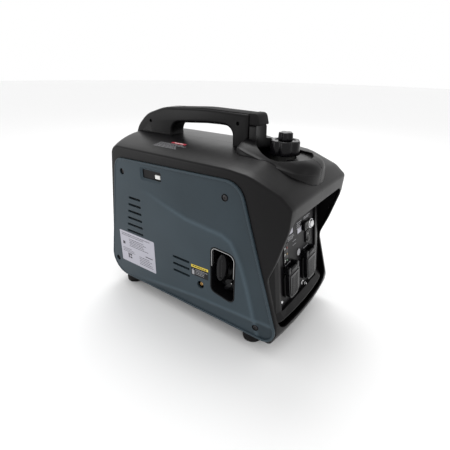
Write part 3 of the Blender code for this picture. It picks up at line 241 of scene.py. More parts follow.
class Finish:
    """A material and the nodes that shape it."""

    def __init__(self, name, colour, roughness, metallic=0.0, coat=0.0):
        self.material = bpy.data.materials.new(name)
        self.material.use_nodes = True
        self.tree = self.material.node_tree
        self.shader = self.tree.nodes["Principled BSDF"]
        self.colour = (*colour, 1.0)
        for socket, amount in (
            ("Base Color", self.colour),
            ("Roughness", roughness),
            ("Metallic", metallic),
            ("Coat Weight", coat),
            ("Specular IOR Level", 0.5 if metallic else 0.17),
        ):
            self.shader.inputs[socket].default_value = amount
        self.material.diffuse_color = self.colour

    def node(self, kind, settings=None, inputs=None, output=0):
        """One node: its settings, then its sockets, as numbers or links. Gives one output."""
        made = self.tree.nodes.new(kind)
        for name, setting in (settings or {}).items():
            setattr(made, name, setting)
        for name, amount in (inputs or {}).items():
            if isinstance(amount, Value):
                self.tree.links.new(amount.socket, made.inputs[name])
            else:
                made.inputs[name].default_value = amount
        return Value(self, made.outputs[output])

    def place(self):
        return self.node("ShaderNodeTexCoord", output="Object")

    def noise(self, size, detail=2.0, stretch=(1, 1, 1)):
        """Noise of features about that size in metres, round 0.5."""
        spot = self.node("ShaderNodeMapping", None, {"Vector": self.place(), "Scale": stretch})
        inputs = {"Vector": spot, "Scale": 1 / size, "Detail": detail}
        return self.node("ShaderNodeTexNoise", None, inputs)

    def feed(self, socket, value):
        self.tree.links.new(value.socket, self.shader.inputs[socket])

    def mix(self, share, first, second):
        """One colour or the other, or between them."""
        inputs = {0: share, 6: first, 7: second}
        return self.node("ShaderNodeMix", {"data_type": "RGBA"}, inputs, output=2)

    def surface(self, height, strength, radius):
        """Feeds Normal from a fine height, over softened edges where a radius is given."""
        inputs = {"Height": height, "Distance": 0.0001, "Strength": strength}
        if radius:
            inputs["Normal"] = self.node("ShaderNodeBevel", {"samples": 4}, {"Radius": radius})
        self.feed("Normal", self.node("ShaderNodeBump", None, inputs))


FINISHES = {}
# Name of the stored painted highlight and shade along the side covers' creases
PAINTED_CREASE_LIGHT_AND_SHADE = "painted_crease_light_and_shade"


def make_finishes(casing, cover):
    """All finishes, by name."""
    looks = (
        ("casing", casing, 0.36, 0.0, 0.0009, 0.30, 0.0005),
        ("cover", cover, 0.36, 0.0, 0.0007, 0.12, 0.0),
        ("cover_face", cover, 0.36, 0.0, 0.0007, 0.12, 0.0),
        ("panel", (0.0036, 0.0032, 0.0042), 0.42, 0.0, 0.0008, 0.15, 0.0004),
        ("socket", (0.0030, 0.0028, 0.0032), 0.34, 0.0, 0.0010, 0.08, 0.0004),
        ("gloss_black", (0.0036, 0.0034, 0.0042), 0.22, 0.0, 0.0012, 0.04, 0.0004),
        ("rubber", (0.0075, 0.0070, 0.0075), 0.72, 0.0, 0.0012, 0.40, 0.0005),
        ("tank", (0.0300, 0.0300, 0.0290), 0.50, 0.0, 0.0015, 0.15, 0.0005),
        ("white", (0.720, 0.720, 0.700), 0.35, 0.0, 0.0015, 0.05, 0.0),
        ("yellow", (0.620, 0.470, 0.060), 0.40, 0.0, 0.0020, 0.03, 0.0),
        ("red", (0.400, 0.030, 0.050), 0.40, 0.0, 0.0020, 0.03, 0.0),
        ("print_grey", (0.330, 0.330, 0.345), 0.45, 0.0, 0.0020, 0.03, 0.0),
        ("print_dark", (0.050, 0.048, 0.056), 0.45, 0.0, 0.0020, 0.03, 0.0),
        ("print_dim", (0.210, 0.210, 0.220), 0.45, 0.0, 0.0020, 0.03, 0.0),
        ("print_black", (0.012, 0.012, 0.014), 0.45, 0.0, 0.0020, 0.03, 0.0),
        ("label", (0.400, 0.395, 0.450), 0.34, 0.15, 0.0020, 0.04, 0.0),
        ("rope", (0.300, 0.280, 0.250), 0.85, 0.0, 0.0010, 0.60, 0.0),
        ("aluminium", (0.560, 0.560, 0.570), 0.42, 1.0, 0.0015, 0.30, 0.0005),
        ("steel", (0.360, 0.360, 0.370), 0.34, 1.0, 0.0020, 0.12, 0.0004),
        ("chrome", (0.640, 0.640, 0.650), 0.14, 1.0, 0.0030, 0.03, 0.0),
        ("silver", (0.420, 0.420, 0.420), 0.30, 0.9, 0.0030, 0.03, 0.0),
        ("dark_steel", (0.050, 0.048, 0.050), 0.40, 1.0, 0.0020, 0.20, 0.0),
        ("brass", (0.480, 0.290, 0.110), 0.30, 1.0, 0.0020, 0.10, 0.0),
        ("copper", (0.500, 0.210, 0.090), 0.38, 1.0, 0.0011, 0.50, 0.0),
        ("lamp_green", (0.150, 0.230, 0.170), 0.20, 0.0, 0.0030, 0.02, 0.0),
        ("lamp_red", (0.240, 0.080, 0.075), 0.20, 0.0, 0.0030, 0.02, 0.0),
        ("lamp_amber", (0.290, 0.210, 0.110), 0.20, 0.0, 0.0030, 0.02, 0.0),
    )
    for name, colour, roughness, metallic, grain, strength, radius in looks:
        finish = Finish(name, colour, roughness, metallic)
        wear = finish.noise(0.06, 3.0)
        finish.feed("Roughness", wear * 0.10 + (roughness - 0.05))
        if name in ("casing", "cover"):
            shade = finish.noise(0.11, 2.0)
            lighter = (*(1.12 * part for part in colour), 1.0)
            darker = (*(0.88 * part for part in colour), 1.0)
            finish.feed("Base Color", finish.mix(shade, darker, lighter))
        if name == "cover_face":
            # Painted light and shade: the stored attribute paints a highlight along each crease and shade on
            # the facets past it, mixed with a random tone
            facet = finish.node("ShaderNodeAttribute", {"attribute_name": PAINTED_CREASE_LIGHT_AND_SHADE}, output=2)
            shade = finish.noise(0.11, 2.0) * 0.3 + facet - 0.15
            lighter = (*(1.60 * part for part in colour), 1.0)
            darker = (*(0.40 * part for part in colour), 1.0)
            finish.feed("Base Color", finish.mix(shade, darker, lighter))
        finish.surface(finish.noise(grain), strength, radius)
        FINISHES[name] = finish.material


# ---- Outlines across an extrusion


def rounded(corners, step=math.radians(9)):
    """A closed outline from (u, v, radius) corners, each arc in equal steps."""
    outline = []
    for i, (u, v, radius) in enumerate(corners):
        here = Vector((u, v))
        back = (Vector(corners[i - 1][:2]) - here).normalized()
        ahead = (Vector(corners[(i + 1) % len(corners)][:2]) - here).normalized()
        if not radius:
            outline.append(here)
            continue
        half = back.angle(ahead) / 2
        centre = here + (back + ahead).normalized() * radius / math.sin(half)
        start = here + back * radius / math.tan(half) - centre
        turn = math.pi - 2 * half
        sense = 1 if back.cross(ahead) < 0 else -1
        steps = max(1, round(turn / step))
        for k in range(steps + 1):
            outline.append(centre + Matrix.Rotation(sense * turn * k / steps, 2) @ start)
    return outline


def rectangle(low_u, high_u, low_v, high_v, radius=0.0):
    corners = ((low_u, low_v), (high_u, low_v), (high_u, high_v), (low_u, high_v))
    return rounded([(u, v, radius) for u, v in corners], math.radians(18))


def grown(outline, distance):
    """The outline moved outwards by distance, or inwards where it is negative."""
    area = sum(outline[i - 1].cross(point) for i, point in enumerate(outline))
    side = distance if area > 0 else -distance
    moved = []
    for i, point in enumerate(outline):
        arriving = (point - outline[i - 1]).normalized()
        leaving = (outline[(i + 1) % len(outline)] - point).normalized()
        across = arriving + leaving
        normal = Vector((across.y, -across.x)).normalized()
        reach = max(0.5, normal.dot(Vector((arriving.y, -arriving.x))))
        moved.append(point + normal * side / reach)
    return moved


def distance_to(point, line, closed=True):
    """Shortest distance from the point to the line through the given points."""
    nearest = 1.0
    ends = zip(line, line[1:] + line[:1]) if closed else zip(line, line[1:])
    for first, second in ends:
        along = second - first
        share = max(0.0, min(1.0, (point - first).dot(along) / along.length_squared))
        nearest = min(nearest, (first + along * share - point).length)
    return nearest


# ---- Solids


def point_on(axis, u, v, w):
    """The point w along the axis, with u and v along the other two in order."""
    places = {"x": (w, u, v), "y": (u, w, v), "z": (u, v, w)}
    return Vector(places[axis])


def prism(axis, outline, low, high):
    bm = bmesh.new()
    low, high = sorted((low, high))
    face = bm.faces.new([bm.verts.new(point_on(axis, p.x, p.y, low)) for p in outline])
    made = bmesh.ops.extrude_face_region(bm, geom=[face])
    top = [item for item in made["geom"] if isinstance(item, bmesh.types.BMVert)]
    bmesh.ops.translate(bm, verts=top, vec=point_on(axis, 0, 0, high - low))
    bmesh.ops.recalc_face_normals(bm, faces=bm.faces)
    return bm


def box(low, high):
    bm = bmesh.new()
    low, high = Vector(low), Vector(high)
    place = Matrix.Translation((low + high) / 2) @ Matrix.Diagonal((*(high - low), 1))
    bmesh.ops.create_cube(bm, size=1, matrix=place)
    return bm


def cylinder(axis, centre, radius, low, high, sides=48, top_radius=None):
    """A cylinder or cone along the axis. centre is its place across the axis."""
    bm = bmesh.new()
    turns = {"x": Matrix.Rotation(math.pi / 2, 4, "Y"), "y": Matrix.Rotation(-math.pi / 2, 4, "X")}
    place = Matrix.Translation(point_on(axis, *centre, (low + high) / 2))
    bmesh.ops.create_cone(
        bm,
        cap_ends=True,
        segments=sides,
        radius1=radius,
        radius2=radius if top_radius is None else top_radius,
        depth=high - low,
        matrix=place @ turns.get(axis, Matrix.Identity(4)),
    )
    return bm


def loft(sections, capped=True):
    """Quads through the sections, closed rings of as many points each."""
    bm = bmesh.new()
    rings = []
    for section in sections:
        verts = [bm.verts.new(point) for point in section]
        rings.append([bm.edges.new((verts[i - 1], vert)) for i, vert in enumerate(verts)])
    for first, second in zip(rings, rings[1:]):
        bmesh.ops.bridge_loops(bm, edges=first + second)
    bmesh.ops.holes_fill(bm, edges=rings[0] + (rings[-1] if capped else []), sides=0)
    bmesh.ops.recalc_face_normals(bm, faces=bm.faces)
    return bm


def turned(profile, steps=48):
    """A full turn round local Z of (radius, height) points.

    A profile that starts and ends on the axis is solid, and any other one is a closed ring.
    """
    bm = bmesh.new()
    verts = [bm.verts.new((radius, 0, height)) for radius, height in profile]
    edges = [bm.edges.new(pair) for pair in zip(verts, verts[1:])]
    if profile[0][0] or profile[-1][0]:
        edges.append(bm.edges.new((verts[-1], verts[0])))
    bmesh.ops.spin(
        bm,
        geom=verts + edges,
        cent=(0, 0, 0),
        axis=(0, 0, 1),
        angle=math.tau,
        steps=steps,
        use_merge=True,
        use_duplicate=False,
    )
    bmesh.ops.remove_doubles(bm, verts=bm.verts, dist=1e-6)
    bmesh.ops.recalc_face_normals(bm, faces=bm.faces)
    return bm


def placed(bm, place):
    bmesh.ops.transform(bm, matrix=place, verts=bm.verts)
    return bm


def together(parts):
    """One bmesh of several that don't touch."""
    whole = bmesh.new()
    for part in parts:
        mesh = bpy.data.meshes.new("part")
        part.to_mesh(mesh)
        part.free()
        whole.from_mesh(mesh)
        bpy.data.meshes.remove(mesh)
    return whole


def out_of_starter_side(x, y, z):
    """A place whose local Z points out of the starter side."""
    return Matrix.Translation((x, y, z)) @ Matrix.Rotation(math.pi / 2, 4, "X")


def bare_object(bm, name):
    mesh = bpy.data.meshes.new(name)
    bm.to_mesh(mesh)
    bm.free()
    made = bpy.data.objects.new(name, mesh)
    bpy.context.scene.collection.objects.link(made)
    return made


def settle(made, helpers):
    """Applies the modifiers of the object and removes the helpers they used."""
    graph = bpy.context.evaluated_depsgraph_get()
    final = bpy.data.meshes.new_from_object(made.evaluated_get(graph))
    made.modifiers.clear()
    made.data = final
    for helper in helpers:
        bpy.data.objects.remove(helper, do_unlink=True)


def piece(name, bm, finish, body="root", stands_for=(), keeps=(), cuts=(), adds=(), bevel=0.0):
    """A finished piece that rides on a body. It keeps only what lies in keeps; the rest is applied too."""
    made = bare_object(bm, name)
    made.data.materials.append(FINISHES[finish])
    helpers = []
    for operation, others in (("UNION", adds), ("INTERSECT", keeps), ("DIFFERENCE", cuts)):
        for other in others:
            helper = bare_object(other, name + "_tool")
            helper.data.materials.append(FINISHES[finish])
            helpers.append(helper)
            join = made.modifiers.new(operation.title(), "BOOLEAN")
            join.operation = operation
            join.solver = "EXACT"
            join.object = helper
    if bevel:
        rounding = made.modifiers.new("Rounding", "BEVEL")
        rounding.width = bevel
        rounding.segments = 3
        rounding.limit_method = "ANGLE"
        rounding.angle_limit = math.radians(35)
    if made.modifiers:
        settle(made, helpers)
    if not made.data.polygons:
        raise RuntimeError(name + " has no faces")
    made.data.shade_smooth()
    made.data.set_sharp_from_angle(angle=math.radians(32))
    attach(made, body)
    if stands_for:
        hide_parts(*stands_for)
    return made


# ---- Casing


def casing_outline():
    """The side view of the casing at the ridge."""
    return rounded(
        (
            (REAR_X - 0.0040, SHELL_LOW_Z, 0.045),
            (FRONT_X - 0.0190, SHELL_LOW_Z, 0.010),
            (FRONT_X - LIP_BOW, 0.055, 0.015),
            (FRONT_X - 0.0095, 0.076, 0.020),
            (FRONT_X - 0.0225, 0.120, 0.050),
            (FRONT_X - 0.0360, 0.165, 0.030),
            (FRONT_X - 0.0200, 0.210, 0.080),
            (FRONT_X - 0.0040, DECK_Z - 0.080, 0.050),
            (FRONT_X - 0.0020, DECK_Z - 0.042, 0.010),
            (FRONT_X - 0.0230, DECK_Z - 0.025, 0.030),
            (FRONT_X - 0.0800, DECK_Z - 0.0045, 0.060),
            (FRONT_X - 0.1230, DECK_Z, 0.100),
            (REAR_X + 0.0430, DECK_Z - 0.0015, 0.022),
        ),
        math.radians(10),
    )


def ramp(value, start, end):
    return min(1.0, max(0.0, (value - start) / (end - start)))


def rear_bow(z):
    """How far the middle of the rear wall stands behind its sides at height z."""
    return REAR_BOW + (REAR_TOP_BOW - REAR_BOW) * ramp(z, 0.100, DECK_Z - 0.030)


def casing_section(y, inset=0.0):
    """The side view at y, with its crowned deck, bowed rear and bowed lip."""
    middle = 1 - (y / SHELL_Y) ** 2
    section = []
    for point in grown(casing_outline(), -inset):
        x = point.x
        if x > 0:
            x += LIP_BOW * middle * ramp(point.y, 0.130, 0.080)
        else:
            x -= rear_bow(point.y) * middle * ramp(x, REAR_X + 0.110, REAR_X + 0.070)
        z = point.y + DECK_CROWN * middle * ramp(point.y, DECK_Z - 0.050, DECK_Z - 0.005)
        section.append(Vector((x, y, z)))
    return section


def edge_stations(side, radius, grow=0.0):
    """Sections that round the casing's side into its outline."""
    stations = []
    for i in range(5):
        turn = math.pi / 2 * (1 - i / 4)
        y = SHELL_Y + grow - radius * (1 - math.sin(turn))
        stations.append(casing_section(side * y, radius * (1 - math.cos(turn)) - grow))
    return stations


def casing_solid(radius, grow):
    """The whole casing as one solid, larger all round by grow."""
    reach = SHELL_Y - radius
    stations = edge_stations(-1, radius, grow)
    stations += [casing_section(reach * share / 8, -grow) for share in range(-7, 8)]
    stations += edge_stations(1, radius, grow)[::-1]
    return loft(stations)


def cover_outline():
    return rounded(
        (
            (REAR_X - 0.0025, COVER_LOW.z, 0.045),
            (FRONT_X + 0.0005, COVER_LOW.z, 0.027),
            (FRONT_X - 0.0950, COVER_TOP_Z, 0.040),
            (REAR_X + 0.0550, COVER_TOP_Z - 0.008, 0.024),
        ),
        math.radians(6),
    )


def cover_screw_places():
    return (
        (REAR_X + 0.073, COVER_TOP_Z - 0.036),
        (FRONT_X - 0.126, COVER_TOP_Z - 0.034),
        (REAR_X + 0.025, 0.074),
        (FRONT_X - 0.051, 0.057),
    )


def bay_outline(clearance):
    """The front bay's opening, seen from the front."""
    half = SHELL_Y - SHELL_WALL - 0.0045
    corners = (
        (-half, 0.061, 0.030),
        (half, 0.061, 0.030),
        (half, DECK_Z - 0.066, 0.020),
        (-half, DECK_Z - 0.066, 0.020),
    )
    return grown(rounded(corners), clearance)


def rear_outline(clearance):
    return grown(rectangle(-0.088, 0.088, 0.082, DECK_Z - 0.055, 0.014), clearance)


def casing_half(name, node, side, radius):
    outer, inner = side * (SHELL_Y + 0.01), side * (SHELL_Y - SHELL_WALL - 0.01)
    seam = prism(
        "y", rectangle(REAR_X - 0.05, FRONT_X + 0.05, 0, HANDLE_TOP_Z), side * GAP / 2, -side * 0.15,
    )
    opening = rectangle(REAR_X + 0.060, FRONT_X - 0.080, 0.060, 0.190, 0.02)
    tray = rectangle(REAR_X + 0.045, FRONT_X - 0.060, -0.095, 0.095, 0.012)
    cuts = [
        casing_solid(radius, -SHELL_WALL),
        seam,
        prism("y", grown(cover_outline(), 0.0005), outer, side * FLANGE_Y),
        prism("y", opening, outer, inner),
        prism("x", bay_outline(0), FRONT_X - 0.080, FRONT_X + 0.02),
        cylinder("z", (CAP_X, 0), WELL_RADIUS + 0.0042, DECK_Z - 0.06, DECK_Z + 0.04),
        prism("x", rear_outline(0), REAR_X - 0.02, REAR_X + 0.070),
        prism("z", tray, SHELL_LOW_Z - 0.01, SHELL_LOW_Z + SHELL_WALL + 0.004),
    ]
    piece(name, casing_solid(radius, 0.0), "casing", stands_for=[node], cuts=cuts)


class GENERATOR_OT_finishes(bpy.types.Operator):
    """Make the finishes and give each piece of the frame its own"""

    bl_idname = "generator.finishes"
    bl_label = "Finishes"

    def execute(self, context):
        settings = context.scene.generator_casing
        make_finishes(tuple(settings.casing_colour), tuple(settings.cover_colour))
        by_finish = {
            "cover": "right_side_cover left_side_cover",
            "casing": "left_body_shell right_body_shell front_bay tank_cowl left_handle_half"
            " right_handle_half"
            " rear_cover base_tray recoil_bezel recoil_housing recoil_reel air_cleaner ignition_coil",
            "gloss_black": "socket_lid_left socket_lid_right fuel_cap vent_knob starter_grip fuel_tap_knob"
            " switch_frame eco_rocker dc_outlet",
            "panel": "control_panel lamp_strip",
            "socket": "socket_left socket_right",
            "rubber": "handle_grip grip_end_cap foot_1 foot_2 foot_3 foot_4 cap_gasket",
            "tank": "fuel_tank",
            "aluminium": "crankcase cylinder_barrel cylinder_head carburettor inverter_unit fuel_tap_body"
            " bezel_trim",
            "dark_steel": "cover_screw_1 cover_screw_2 cover_screw_3 cover_screw_4 muffler",
            "steel": "spark_plug exhaust_pipe crankshaft flywheel_rotor earth_terminal",
            "chrome": "breaker_collar breaker_button",
            "brass": "drain_stud",
            "copper": "stator",
            "label": "rating_plate",
            "rope": "starter_rope",
            "white": "choke_lever",
        }
        for finish, nodes in by_finish.items():
            for node in nodes.split():
                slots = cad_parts[node].data.materials
                slots.clear()
                slots.append(FINISHES[finish])
        return {"FINISHED"}


class GENERATOR_OT_casing(bpy.types.Operator):
    """Build the two halves of the casing"""

    bl_idname = "generator.casing"
    bl_label = "Casing"

    def execute(self, context):
        radius = context.scene.generator_casing.edge_radius
        casing_half("casing_left", "left_body_shell", -1, radius)
        casing_half("casing_right", "right_body_shell", 1, radius)
        return {"FINISHED"}


# ---- Side covers


UPPER_CREASE = (
    (-0.290, 0.290),
    (-0.078, 0.264),
    (-0.033, 0.249),
    (0.016, 0.236),
    (0.075, 0.230),
    (0.100, 0.228),
    (0.119, 0.219),
    (0.132, 0.200),
    (0.143, 0.177),
    (0.157, 0.138),
    (0.169, 0.097),
    (0.195, 0.0),
)
LOWER_CREASE = (
    (-0.290, 0.046), (-0.127, 0.048), (-0.047, 0.058), (0.035, 0.067), (0.103, 0.070), (0.290, 0.078),
)


def crease_height(crease, x):
    """The height of the crease at x, or a height past its ends."""
    for (first_x, first_z), (second_x, second_z) in zip(crease, crease[1:]):
        if first_x <= x < second_x:
            return first_z + (second_z - first_z) * (x - first_x) / (second_x - first_x)
    return crease[0][1] if x < crease[0][0] else crease[-1][1]


def facet_drop(point, slope):
    """How far the cover's face falls behind its middle facet at an (x, z) point."""
    step = 0.0017
    drop = 0.0
    if point.y > crease_height(UPPER_CREASE, point.x):
        away = distance_to(point, [Vector(p) for p in UPPER_CREASE], closed=False)
        drop += (step * ramp(away, 0.0, 0.009) + away * math.tan(slope)) * ramp(point.x, -0.110, 0.010)
    if point.y < crease_height(LOWER_CREASE, point.x):
        away = distance_to(point, [Vector(p) for p in LOWER_CREASE], closed=False)
        drop += (step * ramp(away, 0.0, 0.007) + away * math.tan(slope)) * ramp(point.x, -0.150, -0.060)
    return drop


def painted_crease_light_and_shade(point):
    """Painted light at an (x, z) point: a painted highlight along a crease and painted shade past it,
    standing in for how the creases catch the light.
    """
    shade = 0.5
    fades = (ramp(point.x, -0.110, 0.010), ramp(point.x, -0.150, -0.060))
    for crease, beyond, fade in zip((UPPER_CREASE, LOWER_CREASE), (1, -1), fades):
        away = distance_to(point, [Vector(p) for p in crease], closed=False)
        shade += 0.60 * fade * (1 - ramp(away, 0.0, 0.006))
        if beyond * (point.y - crease_height(crease, point.x)) > 0:
            shade -= 0.13 * fade
    return min(shade, 1.0)


def cover_face(side, proud, slope):
    """The cover's blank: a flat back and a face of sloping facets."""
    bm = bmesh.new()
    middle = Vector((0, 0, (COVER_LOW.z + COVER_TOP_Z) / 2))
    place = Matrix.Translation(middle) @ Matrix.Rotation(math.pi / 2, 4, "X")
    place @= Matrix.Diagonal((0.480, 0.320, 1, 1))
    bmesh.ops.create_grid(bm, x_segments=160, y_segments=106, size=0.5, matrix=place)
    made = bmesh.ops.extrude_face_region(bm, geom=bm.faces[:])
    front = [item for item in made["geom"] if isinstance(item, bmesh.types.BMVert)]
    for vert in front:
        drop = facet_drop(Vector((vert.co.x, vert.co.z)), slope)
        vert.co.y = side * max(COVER_Y - 0.0010, COVER_Y + proud - drop)
    back = set(bm.verts) - set(front)
    for vert in back:
        vert.co.y = side * COVER_INNER_Y
    bmesh.ops.recalc_face_normals(bm, faces=bm.faces)
    return bm


def vent_places():
    """(middle x, middle z, width) of each slot."""
    places = []
    for i in range(6):
        left = REAR_X + 0.086 - 0.0032 * i
        places.append(((left + REAR_X + 0.1215) / 2, 0.243 - 0.0162 * i, REAR_X + 0.1215 - left))
    for i in range(3):
        places.append((CRANK_X + 0.0035, 0.1425 - 0.0162 * i, 0.045))
    return places


def side_cover(name, node, side, settings):
    reach = sorted((side * (COVER_INNER_Y - 0.01), side * (COVER_Y + 0.01)))
    slots = []
    for x, z, width in vent_places():
        slot = rectangle(x - width / 2, x + width / 2, z - 0.0026, z + 0.0026, 0.0018)
        slots.append(prism("y", slot, *reach))
    for x, z in cover_screw_places():
        slots.append(cylinder("y", (x, z), 0.0066, *reach))
    cuts = [together(slots)]
    if side < 0:
        cuts.append(prism("y", grown(window_outline(), GAP), *reach))
        cuts.append(prism("y", choke_outline(), *reach))
        cuts.append(choke_recess(settings.cover_proud))
        cuts.append(cylinder("y", PORT_XZ, 0.0085, *reach))
    edge = prism("y", grown(cover_outline(), -0.0004), *reach)
    face = cover_face(side, settings.cover_proud, settings.facet_slope)
    made = piece(name, edge, "cover_face", stands_for=[node], keeps=[face], cuts=cuts)
    # Store the painted highlight along each crease and the painted shade past it, at every point of the
    # cover
    stored = made.data.attributes.new(PAINTED_CREASE_LIGHT_AND_SHADE, "FLOAT", "POINT")
    for vert, item in zip(made.data.vertices, stored.data):
        item.value = painted_crease_light_and_shade(Vector((vert.co.x, vert.co.z)))
    border = prism(
        "y", cover_outline(), side * COVER_INNER_Y, side * (COVER_Y + settings.cover_proud + 0.0007),
    )
    inside = prism("y", grown(cover_outline(), -settings.rim_width), *reach)
    piece(name + "_rim", border, "cover", cuts=[inside], bevel=0.0011)


def window_outline():
    """The starter window, with a sloping top and foot."""
    half_x, half_z = 0.0285, 0.055
    return rounded(
        (
            (WINDOW_X - half_x, WINDOW_Z - half_z + 0.009, 0.013),
            (WINDOW_X + half_x, WINDOW_Z - half_z - 0.002, 0.013),
            (WINDOW_X + half_x, WINDOW_Z + half_z - 0.004, 0.017),
            (WINDOW_X - half_x, WINDOW_Z + half_z, 0.013),
        )
    )


def choke_outline():
    return rectangle(CHOKE_X, CHOKE_X + 0.050, CHOKE_Z, CHOKE_Z + 0.018, 0.002)


def choke_recess(proud):
    """The sloping recess round the choke window."""
    low, high = -COVER_Y - proud - 0.0010, -COVER_Y + 0.0010
    rings = ((low, 0.0062), (low + 0.0006, 0.0056), (high, 0.0008))
    window = choke_outline()
    return loft([[Vector((p.x, y, p.y)) for p in grown(window, out)] for y, out in rings])


class GENERATOR_OT_side_covers(bpy.types.Operator):
    """Build the two side covers and their rims"""

    bl_idname = "generator.side_covers"
    bl_label = "Side Covers"

    def execute(self, context):
        settings = context.scene.generator_casing
        side_cover("cover_left", "left_side_cover", -1, settings)
        side_cover("cover_right", "right_side_cover", 1, settings)
        return {"FINISHED"}


# ---- Handle


def handle_outline():
    """The side view of the handle, open to the deck under the fingers."""
    top = HANDLE_TOP_Z - 0.0014
    return rounded(
        (
            (REAR_X + 0.0030, DECK_Z - 0.016, 0),
            (REAR_X + 0.1230, DECK_Z - 0.016, 0),
            (REAR_X + 0.1190, HANDLE_TOP_Z - 0.0370, 0.022),
            (0.0, HANDLE_TOP_Z - 0.0275, 0.300),
            (LEG_BACK_X - 0.001, HANDLE_TOP_Z - 0.0285, 0.018),
            (LEG_BACK_X, DECK_Z - 0.016, 0),
            (LEG_FRONT_X, DECK_Z - 0.016, 0),
            (LEG_FRONT_X, top - 0.0010, 0),
            (-0.0240, top + 0.0002, 0.400),
            (REAR_X + 0.0980, top - 0.0055, 0.120),
            (REAR_X + 0.0440, HANDLE_TOP_Z - 0.0250, 0.070),
            (REAR_X + 0.0080, HANDLE_TOP_Z - 0.0580, 0.060),
        ),
        math.radians(5),
    )


def handle_channel(clearance):
    """The side view of the soft strip along the top of the handle."""
    top, under = HANDLE_TOP_Z - 0.0003, HANDLE_TOP_Z - 0.0048
    strip = rounded(
        (
            (REAR_X + 0.1020, under - 0.0057, 0),
            (-0.0240, under, 0.400),
            (LEG_FRONT_X + 0.0005, under - 0.0006, 0),
            (LEG_FRONT_X + 0.0005, top - 0.0012, 0),
            (-0.0240, top, 0.400),
            (REAR_X + 0.1020, top - 0.0072, 0),
        ),
        math.radians(2),
    )
    return grown(strip, clearance)


def flare_section(side, share):
    """A level section of the handle's rear foot: wide on the deck, narrow at the top."""
    half = 0.0150 + 0.0380 * (1 - share) ** 2.2
    rear = REAR_X + 0.0020 + 0.0440 * share ** 1.2
    front = REAR_X + 0.1200 - 0.0500 * share ** 0.7
    level = []
    for i in range(17):
        turn = math.pi * i / 16
        along = 0.5 - 0.5 * math.cos(turn)
        bulge = math.sin(turn) ** 0.55 * (1.0 - 0.35 * along)
        level.append(Vector((rear + (front - rear) * along, side * (0.0020 + half * bulge), 0)))
    z = DECK_Z - 0.016 + 0.058 * share
    return [point + Vector((0, 0, z)) for point in level]


def screw_recess(x, z, side, depth):
    return cylinder("y", (x, z), 0.0036, *sorted((side * 0.04, side * (0.0205 - depth))), 24)


def handle_side(name, node, side, radius):
    """One half of the handle, with rounded edges, a flared foot and two screw recesses."""
    outline = handle_outline()
    round_edge = 0.0068
    layers = [(GAP / 2, 0.0), (0.0060, 0.0)]
    for i in range(6):
        turn = math.pi / 2 * i / 5
        reach = 0.0205 - round_edge * (1 - math.sin(turn))
        layers.append((reach, round_edge * (1 - math.cos(turn)) * 0.9))
    sections = [[Vector((p.x, side * y, p.y)) for p in grown(outline, -inset)] for y, inset in layers]
    flare = loft([flare_section(side, share / 10) for share in range(11)])
    channel = prism("y", grown(handle_channel(0.0003), 0.0), side * -0.01, side * 0.0172)
    cuts = [
        casing_solid(radius, GAP),
        channel,
        screw_recess(-0.1720, 0.3860, side, 0.006),
        screw_recess(0.0585, 0.4040, side, 0.006),
    ]
    piece(name, loft(sections), "casing", stands_for=[node], adds=[flare], cuts=cuts)
    for i, (x, z) in enumerate(((-0.1720, 0.3860), (0.0585, 0.4040))):
        head = cylinder("y", (x, z), 0.0029, *sorted((side * 0.0120, side * 0.0150)), 24)
        piece(f"{name}_screw_{i + 1}", head, "dark_steel", bevel=0.0004)


class GENERATOR_OT_handle(bpy.types.Operator):
    """Build the carrying handle with its soft strip and end cap"""

    bl_idname = "generator.handle"
    bl_label = "Handle"

    def execute(self, context):
        radius = context.scene.generator_casing.edge_radius
        handle_side("handle_left", "left_handle_half", -1, radius)
        handle_side("handle_right", "right_handle_half", 1, radius)
        strip = prism("y", handle_channel(0.0), -0.0169, 0.0169)
        piece("handle_strip", strip, "rubber", stands_for=["handle_grip"], bevel=0.0016)
        cap = rounded(
            (
                (LEG_FRONT_X + GAP, HANDLE_TOP_Z - 0.0215, 0),
                (FRONT_X - 0.1262, HANDLE_TOP_Z - 0.0215, 0.002),
                (FRONT_X - 0.1320, HANDLE_TOP_Z - 0.0006, 0.008),
                (LEG_FRONT_X + GAP, HANDLE_TOP_Z - 0.0006, 0),
            )
        )
        end = prism("y", cap, -0.0180, 0.0180)
        piece("handle_end_cap", end, "rubber", stands_for=["grip_end_cap"], bevel=0.0030)
        return {"FINISHED"}


# ---- Tank cowl and cap


def cowl_section(x, half, middle, edge, wall):
    """Across the cowl: a flat top, round shoulders and a low side wall."""
    fall = middle - edge
    right = [(0.0, middle), (0.35 * half, middle - 0.01 * fall), (0.62 * half, middle - 0.10 * fall)]
    right += [(0.74 * half, middle - 0.34 * fall), (0.88 * half, middle - 0.78 * fall)]
    for i in range(5):
        turn = math.pi / 2 * i / 4
        right.append((half - 0.0032 * (1 - math.sin(turn)), edge - 0.0032 * (1 - math.cos(turn))))
    right += [(half + 0.0012, edge - wall), (half + 0.0012, DECK_Z - 0.060)]
    left = [(-y, z) for y, z in reversed(right[1:])]
    return [Vector((x, y, z)) for y, z in right + left]


def cowl_sections():
    stations = (
        (LEG_FRONT_X + GAP, 0.0560, 0.3795, 0.3700),
        (0.0900, 0.0605, 0.3790, 0.3690),
        (0.1050, 0.0625, 0.3765, 0.3650),
        (0.1300, 0.0628, 0.3715, 0.3585),
        (0.1550, 0.0624, 0.3665, 0.3520),
        (0.1750, 0.0614, 0.3625, 0.3470),
        (0.1930, 0.0580, 0.3590, 0.3430),
        (0.2050, 0.0500, 0.3565, 0.3415),
        (0.2130, 0.0390, 0.3535, 0.3395),
        (0.2180, 0.0270, 0.3495, 0.3370),
        (0.2215, 0.0120, 0.3440, 0.3330),
    )
    return [cowl_section(x, half, middle, edge, 0.009) for x, half, middle, edge in stations]


